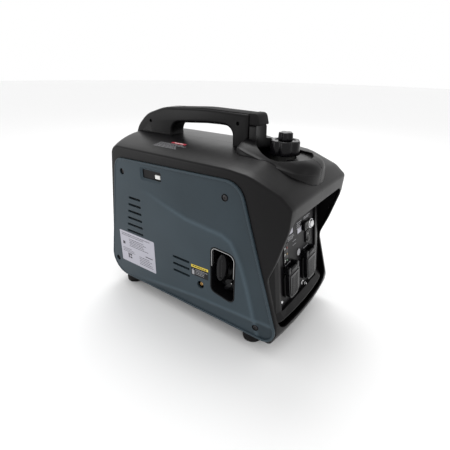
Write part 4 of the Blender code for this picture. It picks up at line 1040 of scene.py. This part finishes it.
def lobed(radius, depth, lobes, sharpness, steps=144):
    """A round outline with hollows between the lobes."""
    outline = []
    for i in range(steps):
        turn = math.tau * i / steps
        reach = radius - depth * (0.5 - 0.5 * math.cos(lobes * turn)) ** sharpness
        outline.append(Vector((reach * math.cos(turn), reach * math.sin(turn))))
    return outline


def round_edged(outline, centre, low, high, radius, taper=0.0):
    """An upright solid of the outline, narrower by taper at the top, with rounded rims."""
    sections = []
    tall = high - low
    heights = [
        (radius * (1 - math.cos(math.pi / 8 * i)), radius * (1 - math.sin(math.pi / 8 * i)))
        for i in range(5)
    ]
    levels = [(low + rise, inset) for rise, inset in heights]
    levels += [(high - rise, inset) for rise, inset in reversed(heights)]
    for z, inset in levels:
        scale = taper * (z - low) / tall
        ring = grown(outline, -inset - scale)
        sections.append([Vector((centre[0] + p.x, centre[1] + p.y, z)) for p in ring])
    return loft(sections)


class GENERATOR_OT_tank_top(bpy.types.Operator):
    """Build the cowl over the tank, the fuel cap and its vent knob"""

    bl_idname = "generator.tank_top"
    bl_label = "Tank Top"

    def execute(self, context):
        radius = context.scene.generator_casing.edge_radius
        top = HANDLE_TOP_Z - 0.0220
        upstand = rounded(
            (
                (LEG_FRONT_X + GAP, DECK_Z + 0.005, 0),
                (FRONT_X - 0.0900, DECK_Z + 0.005, 0),
                (FRONT_X - 0.1130, DECK_Z + 0.034, 0.030),
                (FRONT_X - 0.1258, top, 0.003),
                (LEG_FRONT_X + GAP, top, 0),
            )
        )
        stand = loft(
            [[Vector((p.x, y, p.y))
            for p in grown(upstand, -inset)] for y, inset in UPSTAND_LAYERS]
        )
        bowl = cylinder(
            "z", (CAP_X, 0), WELL_RADIUS + 0.0030, WELL_FLOOR_Z - 0.0030, WELL_FLOOR_Z + 0.0022, 96,
        )
        cuts = [
            casing_solid(radius, GAP),
            cylinder("z", (CAP_X, 0), WELL_RADIUS, WELL_FLOOR_Z, DECK_Z + 0.09, 96, WELL_RADIUS + 0.0035),
            cylinder("z", (CAP_X, 0), 0.0230, WELL_FLOOR_Z - 0.02, DECK_Z + 0.09, 48),
            box(
                (CAP_X + WELL_RADIUS + 0.002, -0.0004, DECK_Z - 0.06),
                (FRONT_X + 0.01, 0.0004, DECK_Z + 0.03),
            ),
            box((0.2000, -0.0640, 0.3455), (0.2090, -0.0500, 0.3485)),
        ]
        piece(
            "cowl",
            loft(cowl_sections()),
            "casing",
            stands_for=["tank_cowl"],
            adds=[stand, bowl],
            cuts=cuts,
        )
        low, high = CAP_LOW.z, KNOB_LOW.z + 0.0060
        skirt = round_edged(lobed(0.0280, 0.0030, 6, 3), (CAP_X, 0), low, high, 0.0022, 0.0012)
        dish = turned(((0, -0.0016), (0.0175, -0.0016), (0.0195, 0.0004), (0.0195, 0.02), (0, 0.02)), 48)
        hollow = cylinder("z", (CAP_X, 0), 0.0213, low - 0.01, high - 0.0045, 48)
        cap_cuts = [placed(dish, Matrix.Translation((CAP_X, 0, high))), hollow]
        piece("cap", skirt, "gloss_black", "fuel_cap", ["fuel_cap"], cuts=cap_cuts)
        knob = round_edged(
            lobed(0.0138, 0.0026, 5, 2), (CAP_X, 0), high - 0.0012, KNOB_HIGH.z, 0.0016, 0.0010,
        )
        stem = cylinder("z", (CAP_X, 0), 0.0060, high - 0.0014, KNOB_HIGH.z - 0.004, 32)
        piece("vent", knob, "gloss_black", "vent_knob", ["vent_knob"], adds=[stem])
        return {"FINISHED"}


# ---- Control panel


def panel_place(u=0.0, v=0.0, out=0.0):
    """Local X along +Y, local Y up the panel, local Z out of it, from a point of its face."""
    up = Vector((-math.sin(PANEL_TILT), 0, math.cos(PANEL_TILT)))
    forward = Vector((math.cos(PANEL_TILT), 0, math.sin(PANEL_TILT)))
    place = Matrix((Vector((0, 1, 0)), up, forward)).transposed().to_4x4()
    return Matrix.Translation((PANEL_LOW_X, 0, PANEL_LOW_Z)) @ place @ Matrix.Translation((u, v, out))


def bars(rows, low, high, axis="z"):
    """Several thin blocks in one mesh, from (low u, high u, low v, high v) rows."""
    return together([prism(axis, rectangle(*row), low, high) for row in rows])


def text_rows(left, right, high, count, pitch, thick, seed):
    """Rows of short dashes that stand for printed lines."""
    random.seed(seed)
    rows = []
    for i in range(count):
        v = high - pitch * i
        u = left
        end = right - (right - left) * 0.35 * random.random()
        while u < end:
            wide = min(thick * (1.5 + 3.5 * random.random()), right - u)
            rows.append((u, u + wide, v - thick / 2, v + thick / 2))
            u += wide + thick * 0.9
    return rows


def lid(name, node, u, v):
    """A ribbed flip lid, hinged along its top edge."""
    place = panel_place(u, v, 0.0090)
    low, high = -0.0030, 0.0048
    outline = rounded(
        (
            (-0.0200, -0.0590, 0.013),
            (0.0200, -0.0590, 0.013),
            (0.0225, -0.0050, 0.004),
            (-0.0225, -0.0050, 0.004),
        )
    )
    body = prism("z", outline, low, high - 0.0012)
    raised = prism("z", grown(outline, -0.0035), high - 0.0030, high)
    hinge = cylinder("x", (0, 0.0002), 0.0042, -0.0118, 0.0118, 32)
    strap = box((-0.0118, -0.0120, -0.0012), (0.0118, 0.0006, 0.0036))
    grooves = [(x - 0.0010, x + 0.0010, -0.0535, -0.0140) for x in (-0.0120, -0.0060, 0.0, 0.0060, 0.0120)]
    cuts = [placed(bars(grooves, high - 0.0012, high + 0.01), place)]
    adds = [placed(part, place) for part in (raised, hinge, strap)]
    piece(
        name, placed(body, place), "gloss_black", node, [node], cuts=cuts, adds=adds, bevel=0.0005,
    )


class GENERATOR_OT_panel_fittings(bpy.types.Operator):
    """Build the socket lids, the switch, the breaker, the lamps and the printed marks"""

    bl_idname = "generator.panel_fittings"
    bl_label = "Panel Fittings"

    def execute(self, context):
        hinge_v = 0.0440 + 0.025 + 0.0055
        for name, node, u in (
            ("lid_left", "socket_lid_left", -0.040), ("lid_right", "socket_lid_right", 0.040),
        ):
            lid(name, node, u, hinge_v)
            for i, side in enumerate((-1, 1)):
                ear = prism("z", rectangle(-0.0044, 0.0044, -0.0065, 0.0065, 0.002), 0.0004, 0.0125)
                place = panel_place(u + side * 0.0170, hinge_v + 0.0010)
                piece(f"{name}_ear_{i + 1}", placed(ear, place), "gloss_black", bevel=0.0012)
        self.switches()
        self.prints()
        return {"FINISHED"}

    def switches(self):
        frame_place = panel_place(0.045, 0.106)
        rim = prism("z", rectangle(-0.0095, 0.0095, -0.0130, 0.0130, 0.0025), 0.0004, 0.0030)
        hole = prism("z", rectangle(-0.0066, 0.0066, -0.0102, 0.0102, 0.0010), -0.01, 0.01)
        piece(
            "switch_rim",
            placed(rim, frame_place),
            "gloss_black",
            stands_for=["switch_frame"],
            cuts=[placed(hole, frame_place)],
            bevel=0.0007,
        )
        rocker_place = panel_place(0.045, 0.106, -0.0010) @ Matrix.Rotation(math.radians(-7), 4, "X")
        profile = rounded(
            (
                (-0.0085, -0.004, 0),
                (0.0085, -0.004, 0),
                (0.0092, 0.0050, 0.001),
                (0.0, 0.0030, 0.012),
                (-0.0092, 0.0050, 0.001),
            )
        )
        rocker = placed(prism("x", profile, -0.0062, 0.0062), rocker_place)
        piece("rocker", rocker, "gloss_black", "eco_rocker", ["eco_rocker"], bevel=0.0004)
        mark = placed(bars([(-0.0005, 0.0005, 0.0034, 0.0066)], 0.0035, 0.0047), rocker_place)
        piece("rocker_mark", mark, "white", "eco_rocker")

        place = panel_place(0.058, 0.129)
        ring = turned(
            (
                (0.0104, 0.0004), (0.0104, 0.0036), (0.0098, 0.0042), (0.0086, 0.0042), (0.0082, 0.0036),
                (0.0082, 0.0004),
            )
        )
        piece("breaker_ring", placed(ring, place), "chrome", stands_for=["breaker_collar"])
        button = (
            (0, 0.0078), (0.0050, 0.0078), (0.0068, 0.0070), (0.0077, 0.0056), (0.0077, -0.0095),
            (0, -0.0095),
        )
        piece(
            "breaker", placed(turned(button), place), "chrome", "breaker_button", ["breaker_button"],
        )

        place = panel_place(0.032, 0.133)
        block = prism("z", rectangle(-0.0090, 0.0090, -0.0085, 0.0085, 0.002), 0.0004, 0.0062)
        slots = [(-0.0050, -0.0032, -0.0035, 0.0035), (0.0032, 0.0050, -0.0035, 0.0035)]
        slots += [(-0.0012, 0.0012, -0.0070, -0.0048)]
        cuts = [placed(bars(slots, 0.0020, 0.02), place)]
        piece(
            "dc_block", placed(block, place), "gloss_black", stands_for=["dc_outlet"],
            cuts=cuts, bevel=0.0007,
        )

        place = panel_place(-0.052, 0.106)
        strip = prism("z", rectangle(-0.0080, 0.0080, -0.0215, 0.0215, 0.0025), 0.0004, 0.0020)
        piece(
            "lamps", placed(strip, place), "gloss_black", stands_for=["lamp_strip"],
            bevel=0.0005,
        )
        for i, finish in enumerate(("lamp_red", "lamp_amber", "lamp_green")):
            lens = turned(
                ((0, 0.0036), (0.0012, 0.0033), (0.0019, 0.0026), (0.0021, 0.0016), (0, 0.0016)), 32,
            )
            piece(
                f"lamp_{i + 1}", placed(lens, place @ Matrix.Translation((0.0040, 0.0125 * (1 - i), 0))),
                finish,
            )
        marks = []
        for i in range(3):
            v = 0.0125 * (1 - i)
            marks += [(-0.0060, -0.0010, v + 0.0008, v + 0.0018), (-0.0060, -0.0024, v - 0.0014, v - 0.0005)]
        piece("lamp_marks", placed(bars(marks, 0.0018, 0.0022), place), "white")

        place = panel_place(0.021, 0.0085)
        washer = turned(((0, 0.0016), (0.0050, 0.0016), (0.0054, 0.0012), (0.0054, 0.0004), (0, 0.0004)), 32)
        bolt = cylinder("z", (0, 0), 0.0032, 0.0010, 0.0072, 6)
        tip = cylinder("z", (0, 0), 0.0018, 0.0060, 0.0100, 24)
        piece(
            "earth_bolt",
            placed(washer, place),
            "chrome",
            stands_for=["earth_terminal"],
            adds=[placed(bolt, place), placed(tip, place)],
            bevel=0.0002,
        )
        head = turned(((0, 0.0030), (0.0024, 0.0027), (0.0036, 0.0014), (0.0036, 0.0003), (0, 0.0003)), 32)
        piece("panel_screw", placed(head, panel_place(-0.072, 0.0140)), "chrome")
        sticker = turned(((0, 0.0008), (0.0068, 0.0008), (0.0068, 0.0003), (0, 0.0003)))
        piece("seal", placed(sticker, panel_place(0.005, 0.0860)), "print_grey")

    def prints(self):
        place = panel_place()
        grey = text_rows(-0.040, -0.015, 0.1330, 3, 0.0030, 0.0013, 3)
        grey += text_rows(-0.002, 0.019, 0.1485, 4, 0.0038, 0.0015, 5)
        grey += text_rows(0.030, 0.060, 0.1500, 2, 0.0030, 0.0015, 8)
        grey += text_rows(0.033, 0.056, 0.1225, 1, 0.0030, 0.0013, 9)
        grey += text_rows(-0.055, -0.028, 0.0830, 1, 0.0030, 0.0013, 12)
        grey += text_rows(0.028, 0.052, 0.0845, 1, 0.0030, 0.0013, 13)
        grey += [(-0.020, -0.006, 0.1180, 0.1188), (-0.020, -0.006, 0.1100, 0.1108)]
        piece("panel_print", placed(bars(grey, 0.0002, 0.0004), place), "print_grey")
        box_rows = [(0.001, 0.018, 0.1260, 0.1360), (-0.036, -0.020, 0.1380, 0.1480)]
        piece("panel_badges", placed(bars(box_rows, 0.0002, 0.0005), place), "label")


# ---- Starter, fuel tap and choke


class GENERATOR_OT_starter(bpy.types.Operator):
    """Build the starter pocket, its bright arch, the grip, the rope, the fuel tap and the choke tab"""

    bl_idname = "generator.starter"
    bl_label = "Starter"

    def execute(self, context):
        outer = -COVER_Y - context.scene.generator_casing.cover_proud - 0.0003
        deep = BEZEL_HIGH.y
        grip_x, grip_z = WINDOW_X - 0.0085, WINDOW_Z + 0.0120
        pocket = prism("y", grown(window_outline(), -0.0024), outer - 0.01, deep - 0.0025)
        rope_hole = cylinder(
            "x", ((GRIP_HIGH.y + 0.0053), grip_z), 0.0035, BEZEL_LOW.x - 0.01, BEZEL_LOW.x + 0.01, 24,
        )
        tap_hole = cylinder(
            "y", (WINDOW_X + 0.0050, WINDOW_Z - 0.0300), 0.0048, deep - 0.02, deep + 0.01, 24,
        )
        piece(
            "pocket",
            prism("y", window_outline(), outer, deep),
            "gloss_black",
            stands_for=["recoil_bezel"],
            cuts=[pocket, rope_hole, tap_hole],
            bevel=0.0008,
        )
        trim = grown(window_outline(), -0.0026)
        lower = rounded(
            (
                (WINDOW_X - 0.05, 0.02, 0),
                (WINDOW_X + 0.05, 0.02, 0),
                (WINDOW_X + 0.05, WINDOW_Z - 0.004, 0),
                (WINDOW_X - 0.05, WINDOW_Z + 0.016, 0),
            )
        )
        arch_cuts = [
            prism("y", grown(trim, -0.0013), outer - 0.01, outer + 0.02),
            prism("y", lower, outer - 0.01, outer + 0.02),
        ]
        arch = prism("y", trim, outer - 0.0002, outer + 0.0060)
        piece(
            "arch", arch, "silver", stands_for=["bezel_trim"], cuts=arch_cuts,
            bevel=0.0004,
        )
        self.grip(grip_x, grip_z)
        self.rope(grip_x, grip_z)
        self.tap(outer)
        self.choke()
        return {"FINISHED"}

    def grip(self, x, z):
        front, back = GRIP_LOW.y, GRIP_HIGH.y
        tall, wide = 0.0320, 0.0130
        sections = []
        for i in range(13):
            turn = math.pi * (0.08 + 0.84 * i / 12)
            share = math.sin(turn) ** 0.55
            y = (front + back) / 2 - (back - front) / 2 * math.cos(turn) / math.cos(math.pi * 0.08)
            ring = []
            for k in range(64):
                angle = math.tau * k / 64
                spot = Vector((wide * share * math.cos(angle), tall * share ** 0.4 * math.sin(angle)))
                spot.rotate(Matrix.Rotation(math.radians(-6), 2))
                ring.append(Vector((x + spot.x, y, z - 0.003 + spot.y)))
            sections.append(ring)
        groove = cylinder("z", (x + 0.002, front - 0.0040), 0.0056, z - 0.024, z + 0.018, 32)
        piece(
            "grip", loft(sections), "gloss_black", "starter_grip", ["starter_grip"], cuts=[groove],
        )

    def rope(self, x, z):
        back = GRIP_HIGH.y - 0.0010
        lane = GRIP_HIGH.y + 0.0053
        points = (
            (CRANK_X + 0.002, -COVER_Y + 0.0155, CRANK_Z + 0.034),
            (CRANK_X + 0.032, -COVER_Y + 0.0160, CRANK_Z + 0.034),
            (CRANK_X + 0.062, lane, z + 0.001),
            (x - 0.012, lane, z),
            (x - 0.0045, lane - 0.0002, z),
            (x - 0.0018, lane - 0.0010, z),
            (x, lane - 0.0026, z),
            (x, back, z),
        )
        inside = self.cord("cord_inside", points[:3])
        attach(inside, "root")
        cord = self.cord("cord", points[2:])
        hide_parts("starter_rope")
        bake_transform(cord)

    def cord(self, name, points):
        """A length of rope along the points."""
        curve = bpy.data.curves.new(name, "CURVE")
        curve.dimensions = "3D"
        curve.bevel_depth = 0.0020
        curve.bevel_resolution = 4
        curve.use_fill_caps = True
        spline = curve.splines.new("POLY")
        spline.points.add(len(points) - 1)
        for point, place in zip(spline.points, points):
            point.co = (*place, 1)
        drawn = bpy.data.objects.new("cord_path", curve)
        bpy.context.scene.collection.objects.link(drawn)
        mesh = bpy.data.meshes.new_from_object(drawn.evaluated_get(bpy.context.evaluated_depsgraph_get()))
        bpy.data.objects.remove(drawn, do_unlink=True)
        cord = bpy.data.objects.new(name, mesh)
        bpy.context.scene.collection.objects.link(cord)
        mesh.materials.clear()
        mesh.materials.append(FINISHES["rope"])
        mesh.shade_smooth()
        return cord

    def tap(self, outer):
        x, z = WINDOW_X + 0.0050, WINDOW_Z - 0.0300
        front = TAP_LOW.y
        place = out_of_starter_side(x, front, z)
        disc = placed(
            turned(((0, -0.0045), (0.0118, -0.0045), (0.0132, -0.0060), (0.0132, -0.0100), (0, -0.0100))),
            place,
        )
        wing = prism("z", rectangle(-0.0036, 0.0036, -0.0132, 0.0132, 0.0034), -0.0080, 0.0)
        wing = placed(wing, place @ Matrix.Rotation(math.radians(-40), 4, "Z"))
        stem = placed(cylinder("z", (0, 0), 0.0040, front - TAP_HIGH.y, -0.0080, 24), place)
        piece(
            "tap", disc, "gloss_black", "fuel_tap_knob", ["fuel_tap_knob"], adds=[wing, stem],
            bevel=0.0006,
        )
        dot = placed(
            cylinder("z", (0, 0.0105), 0.0009, -0.0002, 0.0002, 16),
            place @ Matrix.Rotation(math.radians(-40), 4, "Z"),
        )
        piece("tap_mark", dot, "white", "fuel_tap_knob")

    def choke(self):
        low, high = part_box("choke_lever")
        tab = box(
            (CHOKE_X + 0.0350, -COVER_Y + 0.0004, CHOKE_Z + 0.0040),
            (CHOKE_X + 0.0480, low.y + 0.0050, CHOKE_Z + 0.0118),
        )
        plate = box(
            (CHOKE_X + 0.0270, high.y - 0.0025, CHOKE_Z - 0.004),
            (CHOKE_X + 0.0540, high.y, CHOKE_Z + 0.0180),
        )
        piece("choke_tab", tab, "white", "choke_lever", ["choke_lever"], bevel=0.0008)
        piece("choke_plate", plate, "gloss_black", "choke_lever", bevel=0.0004)


# ---- Marks, screws and feet


class GENERATOR_OT_details(bpy.types.Operator):
    """Build the labels, the deck notice, the screws, the drain stud and the feet"""

    bl_idname = "generator.details"
    bl_label = "Details"

    def execute(self, context):
        face = -COVER_Y - context.scene.generator_casing.cover_proud
        left, low = PLATE_LOW.x, PLATE_LOW.z
        right, high = PLATE_HIGH.x, PLATE_HIGH.z
        plate = prism("y", rectangle(left, right, low, high, 0.0025), face + 0.0008, face - 0.0002)
        piece("rating", plate, "label", stands_for=["rating_plate"])
        rows = text_rows(left + 0.006, right - 0.008, high - 0.006, 2, 0.0040, 0.0012, 21)
        rows += text_rows(left + 0.030, right - 0.014, high - 0.017, 5, 0.0042, 0.0011, 22)
        rows += text_rows(left + 0.006, left + 0.046, high - 0.044, 3, 0.0040, 0.0010, 23)
        rows += text_rows(left + 0.060, right - 0.008, low + 0.026, 5, 0.0044, 0.0011, 24)
        rows += [(left + 0.0220, left + 0.0260, low + 0.012, low + 0.024)]
        rows += [(left + 0.0280, left + 0.0340, low + 0.012, low + 0.016)]
        rows += [(left + 0.0280, left + 0.0340, low + 0.019, low + 0.024)]
        rows += [(left + 0.0080, left + 0.0150, high - 0.034, high - 0.027)]
        rows += [(right - 0.0300, right - 0.0080, high - 0.0470, high - 0.0450)]
        piece("rating_print", bars(rows, face - 0.0001, face - 0.0004, "y"), "print_dark")

        ground = [
            Vector(p)
            for p in ((0.0270, 0.1180), (0.0700, 0.1190), (0.0700, 0.1440), (0.0270, 0.1420))
        ]
        piece("notice_ground", prism("y", ground, face + 0.0005, face - 0.0001), "print_black")
        strip = [Vector(p) for p in ((0.0270, 0.1360), (0.0700, 0.1382), (0.0700, 0.1440), (0.0270, 0.1420))]
        piece("notice_strip", prism("y", strip, face + 0.0001, face - 0.0003), "yellow")
        rows = text_rows(0.0310, 0.0660, 0.1400, 1, 0.0040, 0.0018, 31)
        piece("notice_heading", bars(rows, face - 0.0002, face - 0.0005, "y"), "print_black")
        rows = text_rows(0.0380, 0.0690, 0.1330, 4, 0.0034, 0.0011, 32)
        rows += [(0.0290, 0.0350, 0.1200, 0.1300), (0.0310, 0.0330, 0.1310, 0.1330)]
        piece("notice_print", bars(rows, face, face - 0.0003, "y"), "print_grey")

        self.deck_notice()
        for i, (x, z) in enumerate(cover_screw_places()):
            for side in (-1, 1):
                self.cover_screw(i, x, z, side)
        stud = turned(
            (
                (0, 0.0), (0.0030, 0.0), (0.0042, -0.0012), (0.0042, -0.004), (0.0070, -0.004),
                (0.0070, -0.010), (0, -0.010),
            ),
            32,
        )
        place = out_of_starter_side(PORT_XZ[0], -COVER_Y + 0.0012, PORT_XZ[1])
        socket = placed(cylinder("z", (0, 0), 0.0016, -0.0030, 0.01, 6), place)
        piece("stud", placed(stud, place), "brass", stands_for=["drain_stud"], cuts=[socket])
        for i in range(4):
            low_corner, high_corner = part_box(f"foot_{i + 1}")
            centre = (low_corner + high_corner) / 2
            profile = (
                (0, 0.0246), (0.0150, 0.0246), (0.0170, 0.0230), (0.0178, 0.0140), (0.0192, 0.0122),
                (0.0200, 0.0105),
            )
            profile += ((0.0200, 0.0030), (0.0192, 0.0010), (0.0175, 0), (0, 0))
            foot = placed(turned(profile), Matrix.Translation((centre.x, centre.y, 0)))
            piece(f"pad_{i + 1}", foot, "rubber", stands_for=[f"foot_{i + 1}"])
        return {"FINISHED"}

    def cover_screw(self, i, x, z, side):
        depth = COVER_INNER_Y + 0.0006
        spin = Matrix.Rotation(math.radians(90 if side < 0 else -90), 4, "X")
        place = Matrix.Translation((x, side * depth, z)) @ spin
        cup = turned(
            ((0.0064, -0.0008), (0.0064, 0.0019), (0.0058, 0.0019), (0.0056, 0.0), (0, 0.0), (0, -0.0008)),
            32,
        )
        name = f"screw_{i + 1}_{'left' if side < 0 else 'right'}"
        piece(name + "_cup", placed(cup, place), "gloss_black")
        head = turned(((0, 0.0016), (0.0030, 0.0014), (0.0046, 0.0008), (0.0048, 0.0), (0, 0.0)), 32)
        place = place @ Matrix.Translation((0, 0, 0.0001)) @ Matrix.Rotation(0.5 + i, 4, "Z")
        cross = [(-0.0024, 0.0024, -0.0005, 0.0005), (-0.0005, 0.0005, -0.0024, 0.0024)]
        cuts = [placed(bars([row], 0.0006, 0.01), place) for row in cross]
        nodes = [f"cover_screw_{i + 1}"] if side < 0 else []
        piece(name, placed(head, place), "dark_steel", stands_for=nodes, cuts=cuts)

    def deck_notice(self):
        """A red strip over lines of print, laid on the crowned deck."""
        rows = [(-0.0700, -0.0330, -0.0650, -0.0590)]
        piece("deck_strip", on_deck(rows, 0.0001, 0.0004), "red")
        rows = text_rows(-0.0620, -0.0370, -0.0620, 1, 0.004, 0.0020, 41)
        piece("deck_heading", on_deck(rows, 0.0003, 0.0006), "white")
        rows = text_rows(-0.0950, -0.0240, -0.0690, 5, 0.0048, 0.0020, 42)
        piece("deck_print", on_deck(rows, 0.0001, 0.0003), "print_dim")


def deck_height(y):
    """The casing's top at that distance across it, where it is level lengthways."""
    return DECK_Z + DECK_CROWN * (1 - (y / SHELL_Y) ** 2)


def on_deck(rows, low, high):
    """Thin blocks of (low x, high x, low y, high y) rows, laid on the deck."""
    bm = bars(rows, low, high)
    for vert in bm.verts:
        slope = (vert.co.x - REAR_X - 0.043) / (FRONT_X - 0.123 - REAR_X - 0.043)
        vert.co.z += deck_height(vert.co.y) - 0.0015 * (1 - slope)
    return bm


# ---- Stage


class GENERATOR_OT_stage(bpy.types.Operator):
    """Set out the floor, the lights and the camera"""

    bl_idname = "generator.stage"
    bl_label = "Stage"

    def execute(self, context):
        settings = context.scene.generator_stage
        floor_finish = Finish("floor", settings.floor_colour, 0.8)
        disc = cylinder("z", (0, 0), 9.0, -0.02, -0.0003, 96)
        floor = bare_object(disc, "floor")
        floor.data.materials.append(floor_finish.material)
        for name, place, size, power in (
            ("top_light", (-0.4, 0.5, 1.7), 0.8, settings.key_power),
            ("side_light", (-1.5, -1.6, 0.55), 0.8, settings.side_power),
            ("front_light", (1.9, -0.4, 1.0), 1.0, settings.side_power * 0.5),
            ("rear_light", (-1.0, 1.8, 1.3), 1.4, settings.side_power * 0.6),
        ):
            light = bpy.data.lights.new(name, "AREA")
            light.shape = "DISK"
            light.size = size
            light.energy = power
            lamp = bpy.data.objects.new(name, light)
            lamp.location = place
            lamp.rotation_euler = (Vector(place) - Vector((0, 0, 0.2))).to_track_quat("Z", "Y").to_euler()
            context.scene.collection.objects.link(lamp)
        context.scene.view_settings.view_transform = "Standard"
        world = bpy.data.worlds.new("studio")
        world.use_nodes = True
        background = world.node_tree.nodes["Background"]
        background.inputs["Color"].default_value = (1.0, 1.0, 1.0, 1.0)
        background.inputs["Strength"].default_value = settings.ambient
        context.scene.world = world

        camera = bpy.data.cameras.new("camera")
        camera.sensor_width = 36
        camera.lens = 28.0
        camera.clip_start = 0.02
        viewer = bpy.data.objects.new("camera", camera)
        azimuth, elevation, roll = math.radians(35.23), math.radians(25.34), math.radians(1.06)
        level = math.cos(elevation)
        back = Vector((math.sin(azimuth) * level, -math.cos(azimuth) * level, math.sin(elevation)))
        right = Vector((math.cos(azimuth), math.sin(azimuth), 0))
        up = back.cross(right)
        axis_x = math.cos(roll) * right + math.sin(roll) * up
        axis_y = -math.sin(roll) * right + math.cos(roll) * up
        place = Matrix((axis_x, axis_y, back)).transposed().to_4x4()
        viewer.matrix_world = Matrix.Translation((0.425, -0.574, 0.511)) @ place
        context.scene.collection.objects.link(viewer)
        context.scene.camera = viewer
        return {"FINISHED"}


OPERATORS = (
    GENERATOR_OT_finishes,
    GENERATOR_OT_casing,
    GENERATOR_OT_side_covers,
    GENERATOR_OT_handle,
    GENERATOR_OT_tank_top,
    GENERATOR_OT_panel_fittings,
    GENERATOR_OT_starter,
    GENERATOR_OT_details,
    GENERATOR_OT_stage,
)
SETTINGS = (
    ("generator_casing", GeneratorCasingSettings),
    ("generator_stage", GeneratorStageSettings),
)


class GENERATOR_PT_panel(bpy.types.Panel):
    """The generator's settings and the steps that build it"""

    bl_idname = "GENERATOR_PT_panel"
    bl_label = "Portable Generator"
    bl_space_type = "VIEW_3D"
    bl_region_type = "UI"
    bl_category = "Generator"

    def draw(self, context):
        for name, group in SETTINGS:
            settings = getattr(context.scene, name)
            for setting in group.__annotations__:
                self.layout.prop(settings, setting)
        for operator in OPERATORS:
            self.layout.operator(operator.bl_idname)


def register():
    for made in (*(group for _, group in SETTINGS), *OPERATORS, GENERATOR_PT_panel):
        bpy.utils.register_class(made)
    for name, group in SETTINGS:
        setattr(bpy.types.Scene, name, bpy.props.PointerProperty(type=group))


def unregister():
    for name, _ in SETTINGS:
        delattr(bpy.types.Scene, name)
    for made in (GENERATOR_PT_panel, *OPERATORS, *(group for _, group in SETTINGS)):
        bpy.utils.unregister_class(made)


def main():
    register()
    for operator in OPERATORS:
        group, name = operator.bl_idname.split(".")
        getattr(getattr(bpy.ops, group), name)()


if __name__ == "__main__":
    main()
